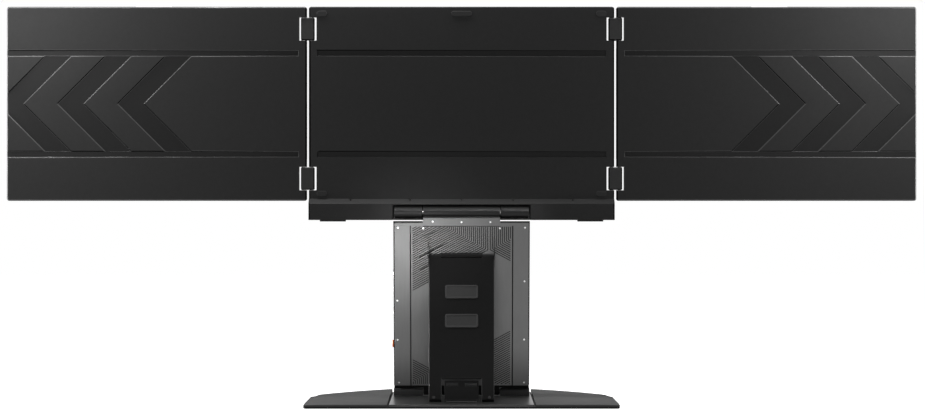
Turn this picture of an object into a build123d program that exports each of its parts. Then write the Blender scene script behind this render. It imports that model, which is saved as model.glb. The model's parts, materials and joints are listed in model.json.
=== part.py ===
"""Free-standing laptop screen extender.

Two wing screens fold over a centre screen, which tilts on a column. The column folds forward
onto a flat base, and a prop leg behind it stands on the base.

Millimetres. +X is to the right seen from behind, -Y is the rear, +Z is up. The origin is the
middle of the footprint, on the desk. A depth is a distance towards the rear.
"""
import os
from math import cos, radians, sin

from build123d import *

# Clearances
RUNNING = 0.05
HINGE_END_GAP = 0.5
FOLD_GAP = 0.4
CUT_OVERRUN = 1.0

# Screens: edges around the active area, stack and corners
WING_RIM = 11.35
CENTRE_EDGE_EXTRA = 3.2
CHIN_HEIGHT = 22.9
PANEL_GAP = 2.4
SCREEN_THICKNESS = 8.0
BEZEL_THICKNESS = 1.3
COVER_WALL = 1.6
EDGE_WALL = 2.0
CORNER_RADIUS = 3.0
REAR_CHAMFER = 1.8
FRONT_CHAMFER = 1.1
ACTIVE_WIDTH = 336.0
ACTIVE_HEIGHT = 210.0
DISPLAY_LAP = 1.0
DISPLAY_FIT = 0.3
DISPLAY_THICKNESS = 2.8

# Relief of the rear covers
GROOVE_HEIGHT = 6.4
GROOVE_DEPTH = 0.8
GROOVE_RISE = 60.5
GROOVE_END = 9.9
CHEVRON_PITCH = 72.0
CHEVRON_BAND = 30.7
CHEVRON_START = 20.0
CHEVRON_COUNT = 3
CHEVRON_DEPTH = 0.6
FINGER_NOTCH_WIDTH = 43.2
FINGER_NOTCH_DEPTH = 1.2
FINGER_NOTCH_OUTWARD = 3.6

# Chin of the centre screen
CHIN_STEP = 7.5
BEVEL_HEIGHT = 6.0
CHIN_FACE_HEIGHT = 19.4
CHIN_SCREW_XS = (-133.0, -61.7, 0.0, 61.7, 133.0)
CHIN_SCREW_RADIUS = 1.2
CHIN_SCREW_LENGTH = 2.2
CHIN_PAD_WIDTH = 31.0
CHIN_PAD_X = 154.1
CHIN_PAD_DEPTH = 5.0
CHIN_PAD_HEIGHT = 1.8

# Rubber bumpers on the rear of the centre screen
BUMPER_SIZE = (14.4, 7.8)
BUMPER_INSET = 15.7
BUMPER_EDGE = 8.5
PILL_SIZE = (24.8, 6.6)
BUMPER_HEIGHT = 1.2
BUMPER_ROUND = 0.45
SOFT_CORNER = 1.0

# Wing hinges: notches in the panel edges, link blocks and upright pins
NOTCH_DEPTH = 9.2
NOTCH_HEIGHT = 28.0
NOTCH_WALL = 1.3
UPPER_NOTCH_DROP = 26.6
LOWER_NOTCH_RISE = 26.8
LINK_HEIGHT = 27.2
LINK_END_CENTRE = 3.8
LINK_END_WING = 3.2
LINK_HALF_THICKNESS = 3.2
LINK_CORNER = 1.6
LINK_REAR_SET = 1.0
PIN_RADIUS = 2.0
PIN_REACH = 7.0
PIN_TO_CENTRE_EDGE = 3.0
PIN_TO_WING_EDGE = 4.0
LEFT_PIN_SET = 4.2
RIGHT_PIN_SET = 8.5
BRACKET_HEIGHT = 9.0
KNUCKLE_RADIUS = 3.0

# Driver boards and chips
DRIVER_BOARD = (150.0, 36.0, 1.2)
DRIVER_BOARD_DROP = 60.0
CHIP_SIZE = (12.0, 12.0, 0.6)
CHIP_PITCH = 30.0
CHIP_COUNT = 4

# Column
COLUMN_LEAN = 7.2
COLUMN_WIDTH = 163.0
COLUMN_FRONT = 4.2
COLUMN_REAR = 12.8
COLUMN_BOTTOM = 10.1
COLUMN_TOP = 207.4
COLUMN_WALL = 2.0
COLUMN_SKIRT_GAP = 0.7
COLUMN_SKIRT_HALF_DEPTH = 3.0
COLUMN_FRONT_CHAMFER = 3.5
BACK_PLATE_THICKNESS = 2.0
BACK_PLATE_SIDE_MARGIN = 1.3
BACK_PLATE_TOP_MARGIN = 2.2
BACK_PLATE_CHAMFER = 0.8
PLATE_GROOVE_X = 61.0
PLATE_GROOVE_WIDTH = 0.9
PLATE_GROOVE_DEPTH = 0.6
TAB_WIDTH = 92.0
TAB_BOTTOM = 204.0
TAB_TOP = 212.3
TAB_SCREWS = ((-34.4, 209.4), (0.0, 208.6), (34.4, 208.6))
PLATE_SCREWS = (
    (-76.1, 202.0), (-45.7, 201.2), (45.7, 201.2), (75.8, 202.0), (75.4, 137.2),
    (-77.0, 113.6), (-76.8, 65.9), (75.1, 66.3), (-75.3, 13.6), (75.2, 13.6),
)
SCREW_RADIUS = 1.45
SCREW_LENGTH = 1.8
BOARD_SIZE = (138.0, 120.0)
BOARD_THICKNESS = 1.6
BOARD_CENTRE = (-9.0, 100.0)
BOARD_DEPTH = 6.0
POST_RADIUS = 3.0
POST_SPACING = (110.0, 100.0)

# Sockets, light and power key in the column's left side
USB_C_LEVELS = (146.2, 100.1)
USB_C_SIZE = (8.94, 3.2)
HDMI_LEVEL = 122.6
HDMI_SIZE = (10.4, 3.2)
SOCKET_LENGTH = 7.5
SOCKET_PROUD = 0.6
SOCKET_WALL = 0.35
SOCKET_MOUTH = 6.0
SOCKET_FIT = 0.15
LIGHT_LEVEL = 84.5
LIGHT_RADIUS = 0.9
KEY_LEVEL = 60.0
KEY_SIZE = (9.0, 3.0)
KEY_PROUD = 1.9
KEY_TRAVEL = 0.8
KEY_FIT = 0.25
KEY_FLANGE = (12.0, 3.0, 1.2)
KEY_ROUND = 0.8
SWITCH_SIZE = (6.0, 3.0, 3.4)

# Tilt hinge between column and centre screen
TILT_UP = 219.7
TILT_REAR = 2.8
BARREL_RADIUS = 7.75
TILT_KNUCKLE_WIDTH = 33.6
TILT_SHAFT_RADIUS = 3.0
BRACKET_FRONT = 2.0
SCREEN_BEHIND_TILT = 1.3
CHIN_BELOW_TILT = 9.7
CUTOUT_GAP = 0.8
CUTOUT_ABOVE_TILT = 8.6
KNUCKLE_PLATE = (24.0, 3.4)
KNUCKLE_PLATE_GAP = 1.55
KNUCKLE_PLATE_FRONT = 3.3

# Foot hinge between base and column
FOOT_Y = 22.5
FOOT_RADIUS = 4.5
FOOT_KNUCKLE_WIDTH = 35.6
FOOT_SHAFT_RADIUS = 2.0
FOOT_LIFT = 0.1
SHAFT_END_WALL = 1.0

# Prop leg
LEG_LEAN = 15.6
LEG_HINGE_UP = 168.3
LEG_THICKNESS = 6.0
LEG_TOP_WIDTH = 77.8
LEG_FOOT_WIDTH = 76.2
LEG_NOTCH_WIDTH = 49.6
LEG_NOTCH_DEPTH = 3.3
LEG_PIN_RADIUS = 1.25
LEG_PIN_SHORT = 0.6
LEG_CUTOUT_WIDTH = 47.0
LEG_CUTOUT_HEIGHT = 24.0
LEG_PAD_SIZE = (38.9, 16.0)
LEG_PAD_DROPS = (42.9, 78.7)
LEG_PAD_HEIGHT = 0.8
LEG_STUD_X = 32.6
LEG_STUD_RADIUS = 1.8
LEG_STUD_HEIGHT = 0.5
LEG_STUD_RISE = 1.5
LEG_FLOOR_GAP = 0.2
LUG_GAP = 0.4

# Leg bracket on the base
LEG_BRACKET_WIDTH = 40.0
LEG_BRACKET_HEIGHT = 22.0
LEG_BRACKET_THICKNESS = 2.0
LEG_BRACKET_SLOT = (13.6, 3.3)
LEG_BRACKET_SLOT_X = 11.0
LEG_BRACKET_SLOT_RISE = 17.3
LEG_BRACKET_FOOT = (35.6, 17.0, 1.2)
LEG_BRACKET_FOOT_REAR = 9.0
BRACKET_SCREW_X = 12.0
BRACKET_SCREW_HEAD = 1.0

# Base
BASE_WIDTH = 366.0
BASE_REAR = 95.0
BASE_SIDE_FRONT = 26.0
BASE_FRONT = 95.0
BASE_SHOULDER = (137.0, 66.0)
BASE_CORNER = 4.0
BASE_TOP = 5.5
BASE_BOTTOM = 0.8
BASE_PLATE_THICKNESS = 2.2
BASE_CHAMFER = 0.9
TRACK_WIDTH = 168.0
TRACK_FRONT_SIDE = 91.0
TRACK_SLOT = 2.0
CREASE_REAR = (162.0, -95.0)
CREASE_FRONT = (92.0, 20.0)
CREASE_SLOPE = 1.6
PAD_CENTRE = (130.0, 80.0)
PAD_CORNER = (60.0, 16.0)
PAD_CORNER_XS = (-130.0, 130.0)
PAD_CORNER_YS = (-78.0, 8.0)
PAD_RECESS = 0.4
PAD_ROUND = 6.0
BASE_SCREW_XS = (-165.0, -100.0, -60.0, 60.0, 100.0, 165.0)
BASE_SCREW_YS = (-50.0, 50.0)
BASE_SCREW_EDGE_Y = -20.0
BASE_SCREW_RADIUS = 3.0
BASE_SCREW_DEPTH = 1.4

# Derived sizes and places
WING_EDGE = NOTCH_DEPTH + NOTCH_WALL + DISPLAY_LAP + DISPLAY_FIT
WING_WIDTH = ACTIVE_WIDTH + 2 * WING_EDGE
WING_HEIGHT = ACTIVE_HEIGHT + 2 * WING_RIM
CENTRE_WIDTH = ACTIVE_WIDTH + 2 * (WING_EDGE + CENTRE_EDGE_EXTRA)
BUMPER_X = CENTRE_WIDTH / 2 - BUMPER_INSET
FOOT_Z = BASE_TOP + FOOT_LIFT + FOOT_RADIUS


def column_to_world(rear, up):
    """The y and z of a point given by its depth and height in the leaning column's frame."""
    lean = radians(COLUMN_LEAN)
    return FOOT_Y - up * sin(lean) - rear * cos(lean), FOOT_Z + up * cos(lean) - rear * sin(lean)


TILT_Y, TILT_Z = column_to_world(TILT_REAR, TILT_UP)
LEG_HINGE_REAR = COLUMN_REAR + LUG_GAP + LEG_THICKNESS / 2
LEG_HINGE_Y, LEG_HINGE_Z = column_to_world(LEG_HINGE_REAR, LEG_HINGE_UP)
LEG_LENGTH = (LEG_HINGE_Z - BASE_TOP - LEG_FLOOR_GAP - LEG_THICKNESS / 2) / cos(radians(LEG_LEAN))
LEG_FOOT_Y = LEG_HINGE_Y - LEG_LENGTH * sin(radians(LEG_LEAN))

SCREEN_REAR = -TILT_Y - SCREEN_BEHIND_TILT
SCREEN_FRONT = SCREEN_REAR - SCREEN_THICKNESS
BEZEL_BACK = SCREEN_FRONT + BEZEL_THICKNESS
COVER_INSIDE = SCREEN_REAR - COVER_WALL
CENTRE_BOTTOM = TILT_Z - CHIN_BELOW_TILT
WING_BOTTOM = CENTRE_BOTTOM + CHIN_HEIGHT
SCREEN_TOP = WING_BOTTOM + WING_HEIGHT
DISPLAY_Z = (WING_BOTTOM + SCREEN_TOP) / 2
WING_INNER_X = CENTRE_WIDTH / 2 + PANEL_GAP
WING_CENTRE_X = WING_INNER_X + WING_WIDTH / 2
WING_OUTER_X = WING_INNER_X + WING_WIDTH
CENTRE_PIN_X = CENTRE_WIDTH / 2 - PIN_TO_CENTRE_EDGE
WING_PIN_X = WING_INNER_X + PIN_TO_WING_EDGE
PIN_DEPTHS = {-1: SCREEN_REAR - LEFT_PIN_SET, 1: SCREEN_REAR - RIGHT_PIN_SET}
HINGE_LEVELS = (SCREEN_TOP - UPPER_NOTCH_DROP, CENTRE_BOTTOM + LOWER_NOTCH_RISE + CHIN_HEIGHT)
GROOVE_LEVELS = (DISPLAY_Z - GROOVE_RISE, DISPLAY_Z + GROOVE_RISE)

CHIN_REAR = SCREEN_REAR + CHIN_STEP
BEVEL_BOTTOM = CENTRE_BOTTOM + CHIN_FACE_HEIGHT
BEVEL_TOP = BEVEL_BOTTOM + BEVEL_HEIGHT
CUTOUT_HALF = COLUMN_WIDTH / 2 + CUTOUT_GAP
CUTOUT_TOP = TILT_Z + CUTOUT_ABOVE_TILT
KNUCKLE_PLATE_TOP = DISPLAY_Z - ACTIVE_HEIGHT / 2 - DISPLAY_LAP - KNUCKLE_PLATE_GAP
PLATE_FRONT_DEPTH = -TILT_Y - KNUCKLE_PLATE_FRONT - KNUCKLE_PLATE[1]
TILT_KNUCKLE_START = TAB_WIDTH / 2 + HINGE_END_GAP + KEY_FIT
TILT_KNUCKLE_X = TILT_KNUCKLE_START + TILT_KNUCKLE_WIDTH / 2
FOOT_KNUCKLE_START = TAB_WIDTH / 2 + HINGE_END_GAP
TILT_SHAFT_HALF = TILT_KNUCKLE_START + TILT_KNUCKLE_WIDTH - SHAFT_END_WALL
FOOT_SHAFT_HALF = FOOT_KNUCKLE_START + FOOT_KNUCKLE_WIDTH - SHAFT_END_WALL
PLATE_FACE = COLUMN_REAR - BACK_PLATE_THICKNESS
SIDE_X = COLUMN_WIDTH / 2
SOCKET_DEPTH = BOARD_DEPTH - USB_C_SIZE[1] / 2
BASE_PLATE_TOP = BASE_BOTTOM + BASE_PLATE_THICKNESS


# Planes: in each, the local x is +X and the normal points to the rear, or up for the base
def screen_plane(depth):
    """Plane of the screens, upright, at a depth behind the origin."""
    return Plane.XZ.offset(depth)


def column_plane(depth):
    """Plane of the leaning column, its origin on the foot axis, at a depth behind it."""
    lean = radians(COLUMN_LEAN)
    normal = Vector(0, -cos(lean), -sin(lean))
    return Plane(Vector(0, FOOT_Y, FOOT_Z) + normal * depth, x_dir=(1, 0, 0), z_dir=normal)


def column_side(x):
    """Side view of the column: local x is forward, local y is up along the column."""
    lean = radians(COLUMN_LEAN)
    return Plane((x, FOOT_Y, FOOT_Z), x_dir=(0, cos(lean), sin(lean)), z_dir=(1, 0, 0))


def leg_plane(depth):
    """Plane of the prop leg, its origin on the leg hinge, at a depth behind it."""
    lean = radians(LEG_LEAN)
    normal = Vector(0, -cos(lean), sin(lean))
    return Plane(Vector(0, LEG_HINGE_Y, LEG_HINGE_Z) + normal * depth, x_dir=(1, 0, 0), z_dir=normal)


def level_plane(height):
    """Level plane at a height above the desk."""
    return Plane.XY.offset(height)


# Shapes that are used again and again, each added to the part being built
def block(plane_at, xs, ys, depths, radius=0.0, mode=Mode.ADD):
    """Rectangular block between two x, two y and two depths of a family of planes."""
    with BuildSketch(plane_at(min(depths))) as outline:
        with Locations(((xs[0] + xs[1]) / 2, (ys[0] + ys[1]) / 2)):
            if radius:
                RectangleRounded(abs(xs[1] - xs[0]), abs(ys[1] - ys[0]), radius)
            else:
                Rectangle(abs(xs[1] - xs[0]), abs(ys[1] - ys[0]))
    extrude(outline.sketch, amount=abs(depths[1] - depths[0]), mode=mode)


def disc(plane, radius, length, spots, mode=Mode.ADD):
    """Round bar, or several, standing on a plane."""
    with BuildSketch(plane) as outline:
        with Locations(*spots):
            Circle(radius)
    extrude(outline.sketch, amount=length, mode=mode)


def cross_bar(radius, start, length, y, z, bore=0.0, mode=Mode.ADD):
    """Bar or tube along X."""
    with BuildSketch(Plane.YZ.offset(start)) as outline:
        with Locations((y, z)):
            Circle(radius)
            if bore:
                Circle(bore, mode=Mode.SUBTRACT)
    extrude(outline.sketch, amount=length, mode=mode)


def cross_bore(radius, half_length, y, z):
    """Bore along X, centred, cut a little past both ends of the piece."""
    reach = half_length + CUT_OVERRUN
    cross_bar(radius, -reach, 2 * reach, y, z, mode=Mode.SUBTRACT)


def outline_block(plane, points, length, mode=Mode.ADD):
    """Straight-sided outline extruded from a plane."""
    with BuildSketch(plane) as outline:
        Polygon(*points, align=None)
    extrude(outline.sketch, amount=length, mode=mode)


def label_and_write(part, name):
    """Give a finished piece its name and write it."""
    part.label = name
    export_step(part, f"parts/{name}.step")


# Screens
def notch_span(edge_x, inward, depth=NOTCH_DEPTH):
    """The two x of a hinge notch, from just outside the panel's edge to its inner wall."""
    return edge_x - inward * REAR_CHAMFER, edge_x + inward * depth


def cut_hinge_notches(edge_x, inward, depths):
    """Notches for the link blocks, right through the panel."""
    for level in HINGE_LEVELS:
        levels = (level - NOTCH_HEIGHT / 2, level + NOTCH_HEIGHT / 2)
        block(screen_plane, notch_span(edge_x, inward), levels, depths, mode=Mode.SUBTRACT)


def bracket_levels():
    """Bottom and top of each hinge bracket: one above and one below each notch."""
    levels = []
    for level in HINGE_LEVELS:
        levels.append((level + NOTCH_HEIGHT / 2, level + NOTCH_HEIGHT / 2 + BRACKET_HEIGHT))
        levels.append((level - NOTCH_HEIGHT / 2 - BRACKET_HEIGHT, level - NOTCH_HEIGHT / 2))
    return levels


def cover_edge(edge_x, inward):
    """Walls around the notches of a rear cover, the notches and the bracket pockets."""
    depths = (BEZEL_BACK, SCREEN_REAR)
    for level in HINGE_LEVELS:
        half = NOTCH_HEIGHT / 2
        wall = (edge_x + inward * EDGE_WALL / 2, edge_x + inward * (NOTCH_DEPTH + NOTCH_WALL))
        block(screen_plane, wall, (level - half, level + half), depths)
    cut_hinge_notches(edge_x, inward, (BEZEL_BACK - CUT_OVERRUN, SCREEN_REAR + CUT_OVERRUN))
    for low, high in bracket_levels():
        pocket = (BEZEL_BACK, COVER_INSIDE)
        block(screen_plane, notch_span(edge_x, inward), (low, high), pocket, mode=Mode.SUBTRACT)


def bezel_edge(edge_x, inward, side):
    """Notches of a bezel, and on the right hinge the windows for the raised knuckles."""
    depths = (SCREEN_FRONT - CUT_OVERRUN, BEZEL_BACK + CUT_OVERRUN)
    cut_hinge_notches(edge_x, inward, depths)
    if is_raised(side):
        reach = abs(pin_x(edge_x) - abs(edge_x)) + KNUCKLE_RADIUS + KEY_FIT
        for low, high in bracket_levels():
            window = (low - KEY_FIT, high + KEY_FIT)
            block(screen_plane, notch_span(edge_x, inward, reach), window, depths, mode=Mode.SUBTRACT)


def pin_x(edge_x):
    """Distance from the middle to the hinge pin beside a panel edge."""
    return CENTRE_PIN_X if abs(edge_x) < WING_INNER_X else WING_PIN_X


def is_raised(side):
    """True where the pins stand in front of the bezel's back, so the brackets need knuckles."""
    return PIN_DEPTHS[side] - PIN_RADIUS < BEZEL_BACK


def add_brackets(edge_x, inward, side):
    """Hinge brackets of one panel edge, each with its bore and, if raised, its knuckle."""
    pin = (side * pin_x(edge_x), -PIN_DEPTHS[side])
    for low, high in bracket_levels():
        foot = (edge_x, edge_x + inward * NOTCH_DEPTH)
        block(screen_plane, foot, (low, high), (BEZEL_BACK + RUNNING, COVER_INSIDE))
        if is_raised(side):
            web = (pin[0] - KNUCKLE_RADIUS, pin[0] + KNUCKLE_RADIUS)
            block(screen_plane, web, (low, high), (PIN_DEPTHS[side], COVER_INSIDE))
            disc(level_plane(low), KNUCKLE_RADIUS, high - low, [pin])
        reach = high - low + 2 * CUT_OVERRUN
        disc(level_plane(low - CUT_OVERRUN), PIN_RADIUS + RUNNING, reach, [pin], mode=Mode.SUBTRACT)


def cover_tray(centre_x, bottom, width):
    """Tray of a rear cover with its chamfered rear edge and its cavity."""
    xs = (centre_x - width / 2, centre_x + width / 2)
    block(screen_plane, xs, (bottom, SCREEN_TOP), (BEZEL_BACK, SCREEN_REAR), radius=CORNER_RADIUS)
    chamfer(faces().sort_by(Axis.Y)[0].edges(), REAR_CHAMFER)
    inside = (xs[0] + EDGE_WALL, xs[1] - EDGE_WALL)
    levels = (WING_BOTTOM + EDGE_WALL, SCREEN_TOP - EDGE_WALL)
    block(screen_plane, inside, levels, (BEZEL_BACK, COVER_INSIDE), mode=Mode.SUBTRACT)


def cut_grooves(xs):
    """The two level grooves across a rear cover."""
    for level in GROOVE_LEVELS:
        ys = (level - GROOVE_HEIGHT / 2, level + GROOVE_HEIGHT / 2)
        block(screen_plane, xs, ys, (SCREEN_REAR - GROOVE_DEPTH, SCREEN_REAR), mode=Mode.SUBTRACT)


def cut_chevrons(side):
    """Recessed V bands between the grooves, pointing to the wing's outer edge."""
    half = GROOVE_RISE - GROOVE_HEIGHT / 2
    for index in range(CHEVRON_COUNT):
        inner = CHEVRON_START + index * CHEVRON_PITCH
        outer = inner - CHEVRON_BAND
        outline = ((outer + half, half), (inner + half, half), (inner, 0),
                   (inner + half, -half), (outer + half, -half), (outer, 0))
        points = [(side * (WING_OUTER_X - reach), DISPLAY_Z + rise) for reach, rise in outline]
        outline_block(screen_plane(SCREEN_REAR - CHEVRON_DEPTH), points, CHEVRON_DEPTH, mode=Mode.SUBTRACT)


def make_wing_cover(side):
    """Rear cover of a wing."""
    with BuildPart() as cover:
        cover_tray(side * WING_CENTRE_X, WING_BOTTOM, WING_WIDTH)
        cover_edge(side * WING_INNER_X, side)
        cut_grooves((side * (WING_OUTER_X + CUT_OVERRUN), side * (WING_INNER_X + GROOVE_END)))
        cut_chevrons(side)
        middle = side * (WING_CENTRE_X + FINGER_NOTCH_OUTWARD)
        xs = (middle - FINGER_NOTCH_WIDTH / 2, middle + FINGER_NOTCH_WIDTH / 2)
        ys = (SCREEN_TOP - FINGER_NOTCH_DEPTH, SCREEN_TOP + CUT_OVERRUN)
        block(screen_plane, xs, ys, (BEZEL_BACK, SCREEN_REAR), mode=Mode.SUBTRACT)
    return cover.part


def make_centre_cover():
    """Rear cover of the centre screen, with the chin that holds the tilt hinge."""
    half = CENTRE_WIDTH / 2
    with BuildPart() as cover:
        cover_tray(0, CENTRE_BOTTOM, CENTRE_WIDTH)
        profile = ((-BEZEL_BACK, CENTRE_BOTTOM), (-CHIN_REAR, CENTRE_BOTTOM), (-CHIN_REAR, BEVEL_BOTTOM),
                   (-SCREEN_REAR, BEVEL_TOP), (-COVER_INSIDE, BEVEL_TOP), (-BEZEL_BACK, WING_BOTTOM))
        outline_block(Plane.YZ.offset(-half), profile, CENTRE_WIDTH)
        chamfer(edges().filter_by(Axis.Z).group_by(Axis.Y)[0], REAR_CHAMFER)
        for side in (-1, 1):
            pocket = (side * (CUTOUT_HALF + EDGE_WALL), side * (half - EDGE_WALL))
            levels = (CENTRE_BOTTOM + EDGE_WALL, BEVEL_BOTTOM - EDGE_WALL)
            block(screen_plane, pocket, levels, (BEZEL_BACK, CHIN_REAR - COVER_WALL), mode=Mode.SUBTRACT)
            cover_edge(side * half, -side)
            slot = [side * TILT_KNUCKLE_X + reach * (KNUCKLE_PLATE[0] / 2 + KEY_FIT) for reach in (-1, 1)]
            levels = (CUTOUT_TOP - CUT_OVERRUN, KNUCKLE_PLATE_TOP)
            depths = (PLATE_FRONT_DEPTH - RUNNING, COVER_INSIDE)
            block(screen_plane, slot, levels, depths, mode=Mode.SUBTRACT)
        cutout = (-CUTOUT_HALF, CUTOUT_HALF)
        levels = (CENTRE_BOTTOM - CUT_OVERRUN, CUTOUT_TOP)
        block(screen_plane, cutout, levels, (BEZEL_BACK, CHIN_REAR + CUT_OVERRUN), mode=Mode.SUBTRACT)
        cut_grooves((GROOVE_END - half, half - GROOVE_END))
        spots = [(x, BEVEL_TOP - CHIN_SCREW_RADIUS) for x in CHIN_SCREW_XS]
        disc(screen_plane(COVER_INSIDE), CHIN_SCREW_RADIUS + RUNNING, CHIN_STEP, spots, mode=Mode.SUBTRACT)
    return cover.part


def make_bezel(centre_x, bottom, width, edges_with_hinge):
    """Front bezel: a frame around the active area."""
    with BuildPart() as bezel:
        xs = (centre_x - width / 2, centre_x + width / 2)
        block(screen_plane, xs, (bottom, SCREEN_TOP), (SCREEN_FRONT, BEZEL_BACK), radius=CORNER_RADIUS)
        chamfer(faces().sort_by(Axis.Y)[-1].edges(), FRONT_CHAMFER)
        window = (centre_x - ACTIVE_WIDTH / 2, centre_x + ACTIVE_WIDTH / 2)
        levels = (DISPLAY_Z - ACTIVE_HEIGHT / 2, DISPLAY_Z + ACTIVE_HEIGHT / 2)
        depths = (SCREEN_FRONT - CUT_OVERRUN, BEZEL_BACK + CUT_OVERRUN)
        block(screen_plane, window, levels, depths, mode=Mode.SUBTRACT)
        for edge_x, inward, side in edges_with_hinge:
            bezel_edge(edge_x, inward, side)
    return bezel.part


def make_display(centre_x):
    """Display panel behind the bezel."""
    with BuildPart() as display:
        half_width = ACTIVE_WIDTH / 2 + DISPLAY_LAP
        half_height = ACTIVE_HEIGHT / 2 + DISPLAY_LAP
        xs = (centre_x - half_width, centre_x + half_width)
        levels = (DISPLAY_Z - half_height, DISPLAY_Z + half_height)
        block(screen_plane, xs, levels, (BEZEL_BACK, BEZEL_BACK + DISPLAY_THICKNESS))
    return display.part


def make_driver_board(centre_x):
    """Driver board on the back of a display, with its row of chips."""
    length, width, thickness = DRIVER_BOARD
    middle = DISPLAY_Z - DRIVER_BOARD_DROP
    face = BEZEL_BACK + DISPLAY_THICKNESS
    with BuildPart() as board:
        xs = (centre_x - length / 2, centre_x + length / 2)
        block(screen_plane, xs, (middle - width / 2, middle + width / 2), (face, face + thickness))
        for index in range(CHIP_COUNT):
            chip_x = centre_x + (index - (CHIP_COUNT - 1) / 2) * CHIP_PITCH
            chip = (chip_x - CHIP_SIZE[0] / 2, chip_x + CHIP_SIZE[0] / 2)
            levels = (middle - CHIP_SIZE[1] / 2, middle + CHIP_SIZE[1] / 2)
            block(screen_plane, chip, levels, (face + thickness, face + thickness + CHIP_SIZE[2]))
    return board.part


def make_brackets(edges_with_hinge):
    """Hinge brackets of one panel."""
    with BuildPart() as brackets:
        for edge_x, inward, side in edges_with_hinge:
            add_brackets(edge_x, inward, side)
    return brackets.part


# Wing hinges
def make_link_blocks(side):
    """The two link blocks of one side."""
    pin_depth = PIN_DEPTHS[side]
    rear = max(pin_depth + LINK_HALF_THICKNESS, SCREEN_REAR - LINK_REAR_SET)
    ends = (side * (CENTRE_PIN_X - LINK_END_CENTRE), side * (WING_PIN_X + LINK_END_WING))
    pins = [(side * CENTRE_PIN_X, -pin_depth), (side * WING_PIN_X, -pin_depth)]
    with BuildPart() as blocks:
        for level in HINGE_LEVELS:
            low = level - LINK_HEIGHT / 2
            ys = (LINK_HALF_THICKNESS - pin_depth, -rear)
            block(level_plane, ends, ys, (low, low + LINK_HEIGHT), radius=LINK_CORNER)
            disc(level_plane(low), PIN_RADIUS, LINK_HEIGHT, pins, mode=Mode.SUBTRACT)
    return blocks.part


def make_link_pins(side):
    """The four upright pins of one side, held in the link blocks."""
    length = NOTCH_HEIGHT + 2 * PIN_REACH
    pins = [(side * CENTRE_PIN_X, -PIN_DEPTHS[side]), (side * WING_PIN_X, -PIN_DEPTHS[side])]
    with BuildPart() as upright:
        for level in HINGE_LEVELS:
            disc(level_plane(level - length / 2), PIN_RADIUS, length, pins)
    return upright.part


# Column
def make_housing():
    """Front shell of the column, with its foot knuckle and the openings in its left side."""
    with BuildPart() as housing:
        ys = (COLUMN_BOTTOM, COLUMN_TOP)
        block(column_plane, (-SIDE_X, SIDE_X), ys, (-COLUMN_FRONT, PLATE_FACE))
        front = faces().sort_by(Axis.Y)[-1]
        chamfer(front.edges().sort_by(Axis.Z)[-1], COLUMN_FRONT_CHAMFER)
        chamfer(housing.faces().sort_by(Axis.Y)[-1].edges().sort_by(Axis.X)[0], COLUMN_WALL / 2)
        chamfer(housing.faces().sort_by(Axis.Y)[-1].edges().sort_by(Axis.X)[-1], COLUMN_WALL / 2)
        inside = (COLUMN_WALL - SIDE_X, SIDE_X - COLUMN_WALL)
        levels = (COLUMN_BOTTOM + COLUMN_WALL, TAB_BOTTOM - 2 * COLUMN_WALL)
        block(column_plane, inside, levels, (COLUMN_WALL - COLUMN_FRONT, PLATE_FACE), mode=Mode.SUBTRACT)
        seat = (-TAB_WIDTH / 2 - KEY_FIT, TAB_WIDTH / 2 + KEY_FIT)
        levels = (TAB_BOTTOM, COLUMN_TOP + CUT_OVERRUN)
        block(column_plane, seat, levels, (-COLUMN_FRONT - CUT_OVERRUN, PLATE_FACE), mode=Mode.SUBTRACT)
        web = ((-FOOT_RADIUS, 0), (COLUMN_FRONT, 0),
               (COLUMN_FRONT, COLUMN_BOTTOM), (-FOOT_RADIUS, COLUMN_BOTTOM))
        outline_block(column_side(-TAB_WIDTH / 2), web, TAB_WIDTH)
        for side in (-1, 1):
            xs = sorted((side * TAB_WIDTH / 2, side * SIDE_X))
            levels = (FOOT_RADIUS + COLUMN_SKIRT_GAP, COLUMN_BOTTOM)
            block(column_plane, xs, levels, (-COLUMN_SKIRT_HALF_DEPTH, COLUMN_SKIRT_HALF_DEPTH))
        cross_bar(FOOT_RADIUS, -TAB_WIDTH / 2, TAB_WIDTH, FOOT_Y, FOOT_Z)
        cross_bore(FOOT_SHAFT_RADIUS + RUNNING, TAB_WIDTH / 2, FOOT_Y, FOOT_Z)
        floor = COLUMN_WALL - COLUMN_FRONT
        spots = [(BOARD_CENTRE[0] + x * POST_SPACING[0] / 2, BOARD_CENTRE[1] + y * POST_SPACING[1] / 2)
                 for x in (-1, 1) for y in (-1, 1)]
        disc(column_plane(floor), POST_RADIUS, BOARD_DEPTH - floor, spots)
        wall = (-SIDE_X - CUT_OVERRUN, COLUMN_WALL - SIDE_X + RUNNING)
        for level, size, fit in side_openings():
            ys = (level - size[0] / 2 - fit, level + size[0] / 2 + fit)
            half = size[1] / 2 + fit
            block(column_plane, wall, ys, (SOCKET_DEPTH - half, SOCKET_DEPTH + half), mode=Mode.SUBTRACT)
    return housing.part


def side_openings():
    """Level, size and clearance of each opening in the column's left side."""
    openings = [(level, USB_C_SIZE, SOCKET_FIT) for level in USB_C_LEVELS]
    openings.append((HDMI_LEVEL, HDMI_SIZE, SOCKET_FIT))
    openings.append((LIGHT_LEVEL, (2 * LIGHT_RADIUS, 2 * LIGHT_RADIUS), 0))
    openings.append((KEY_LEVEL, KEY_SIZE, KEY_FIT))
    return openings


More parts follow.
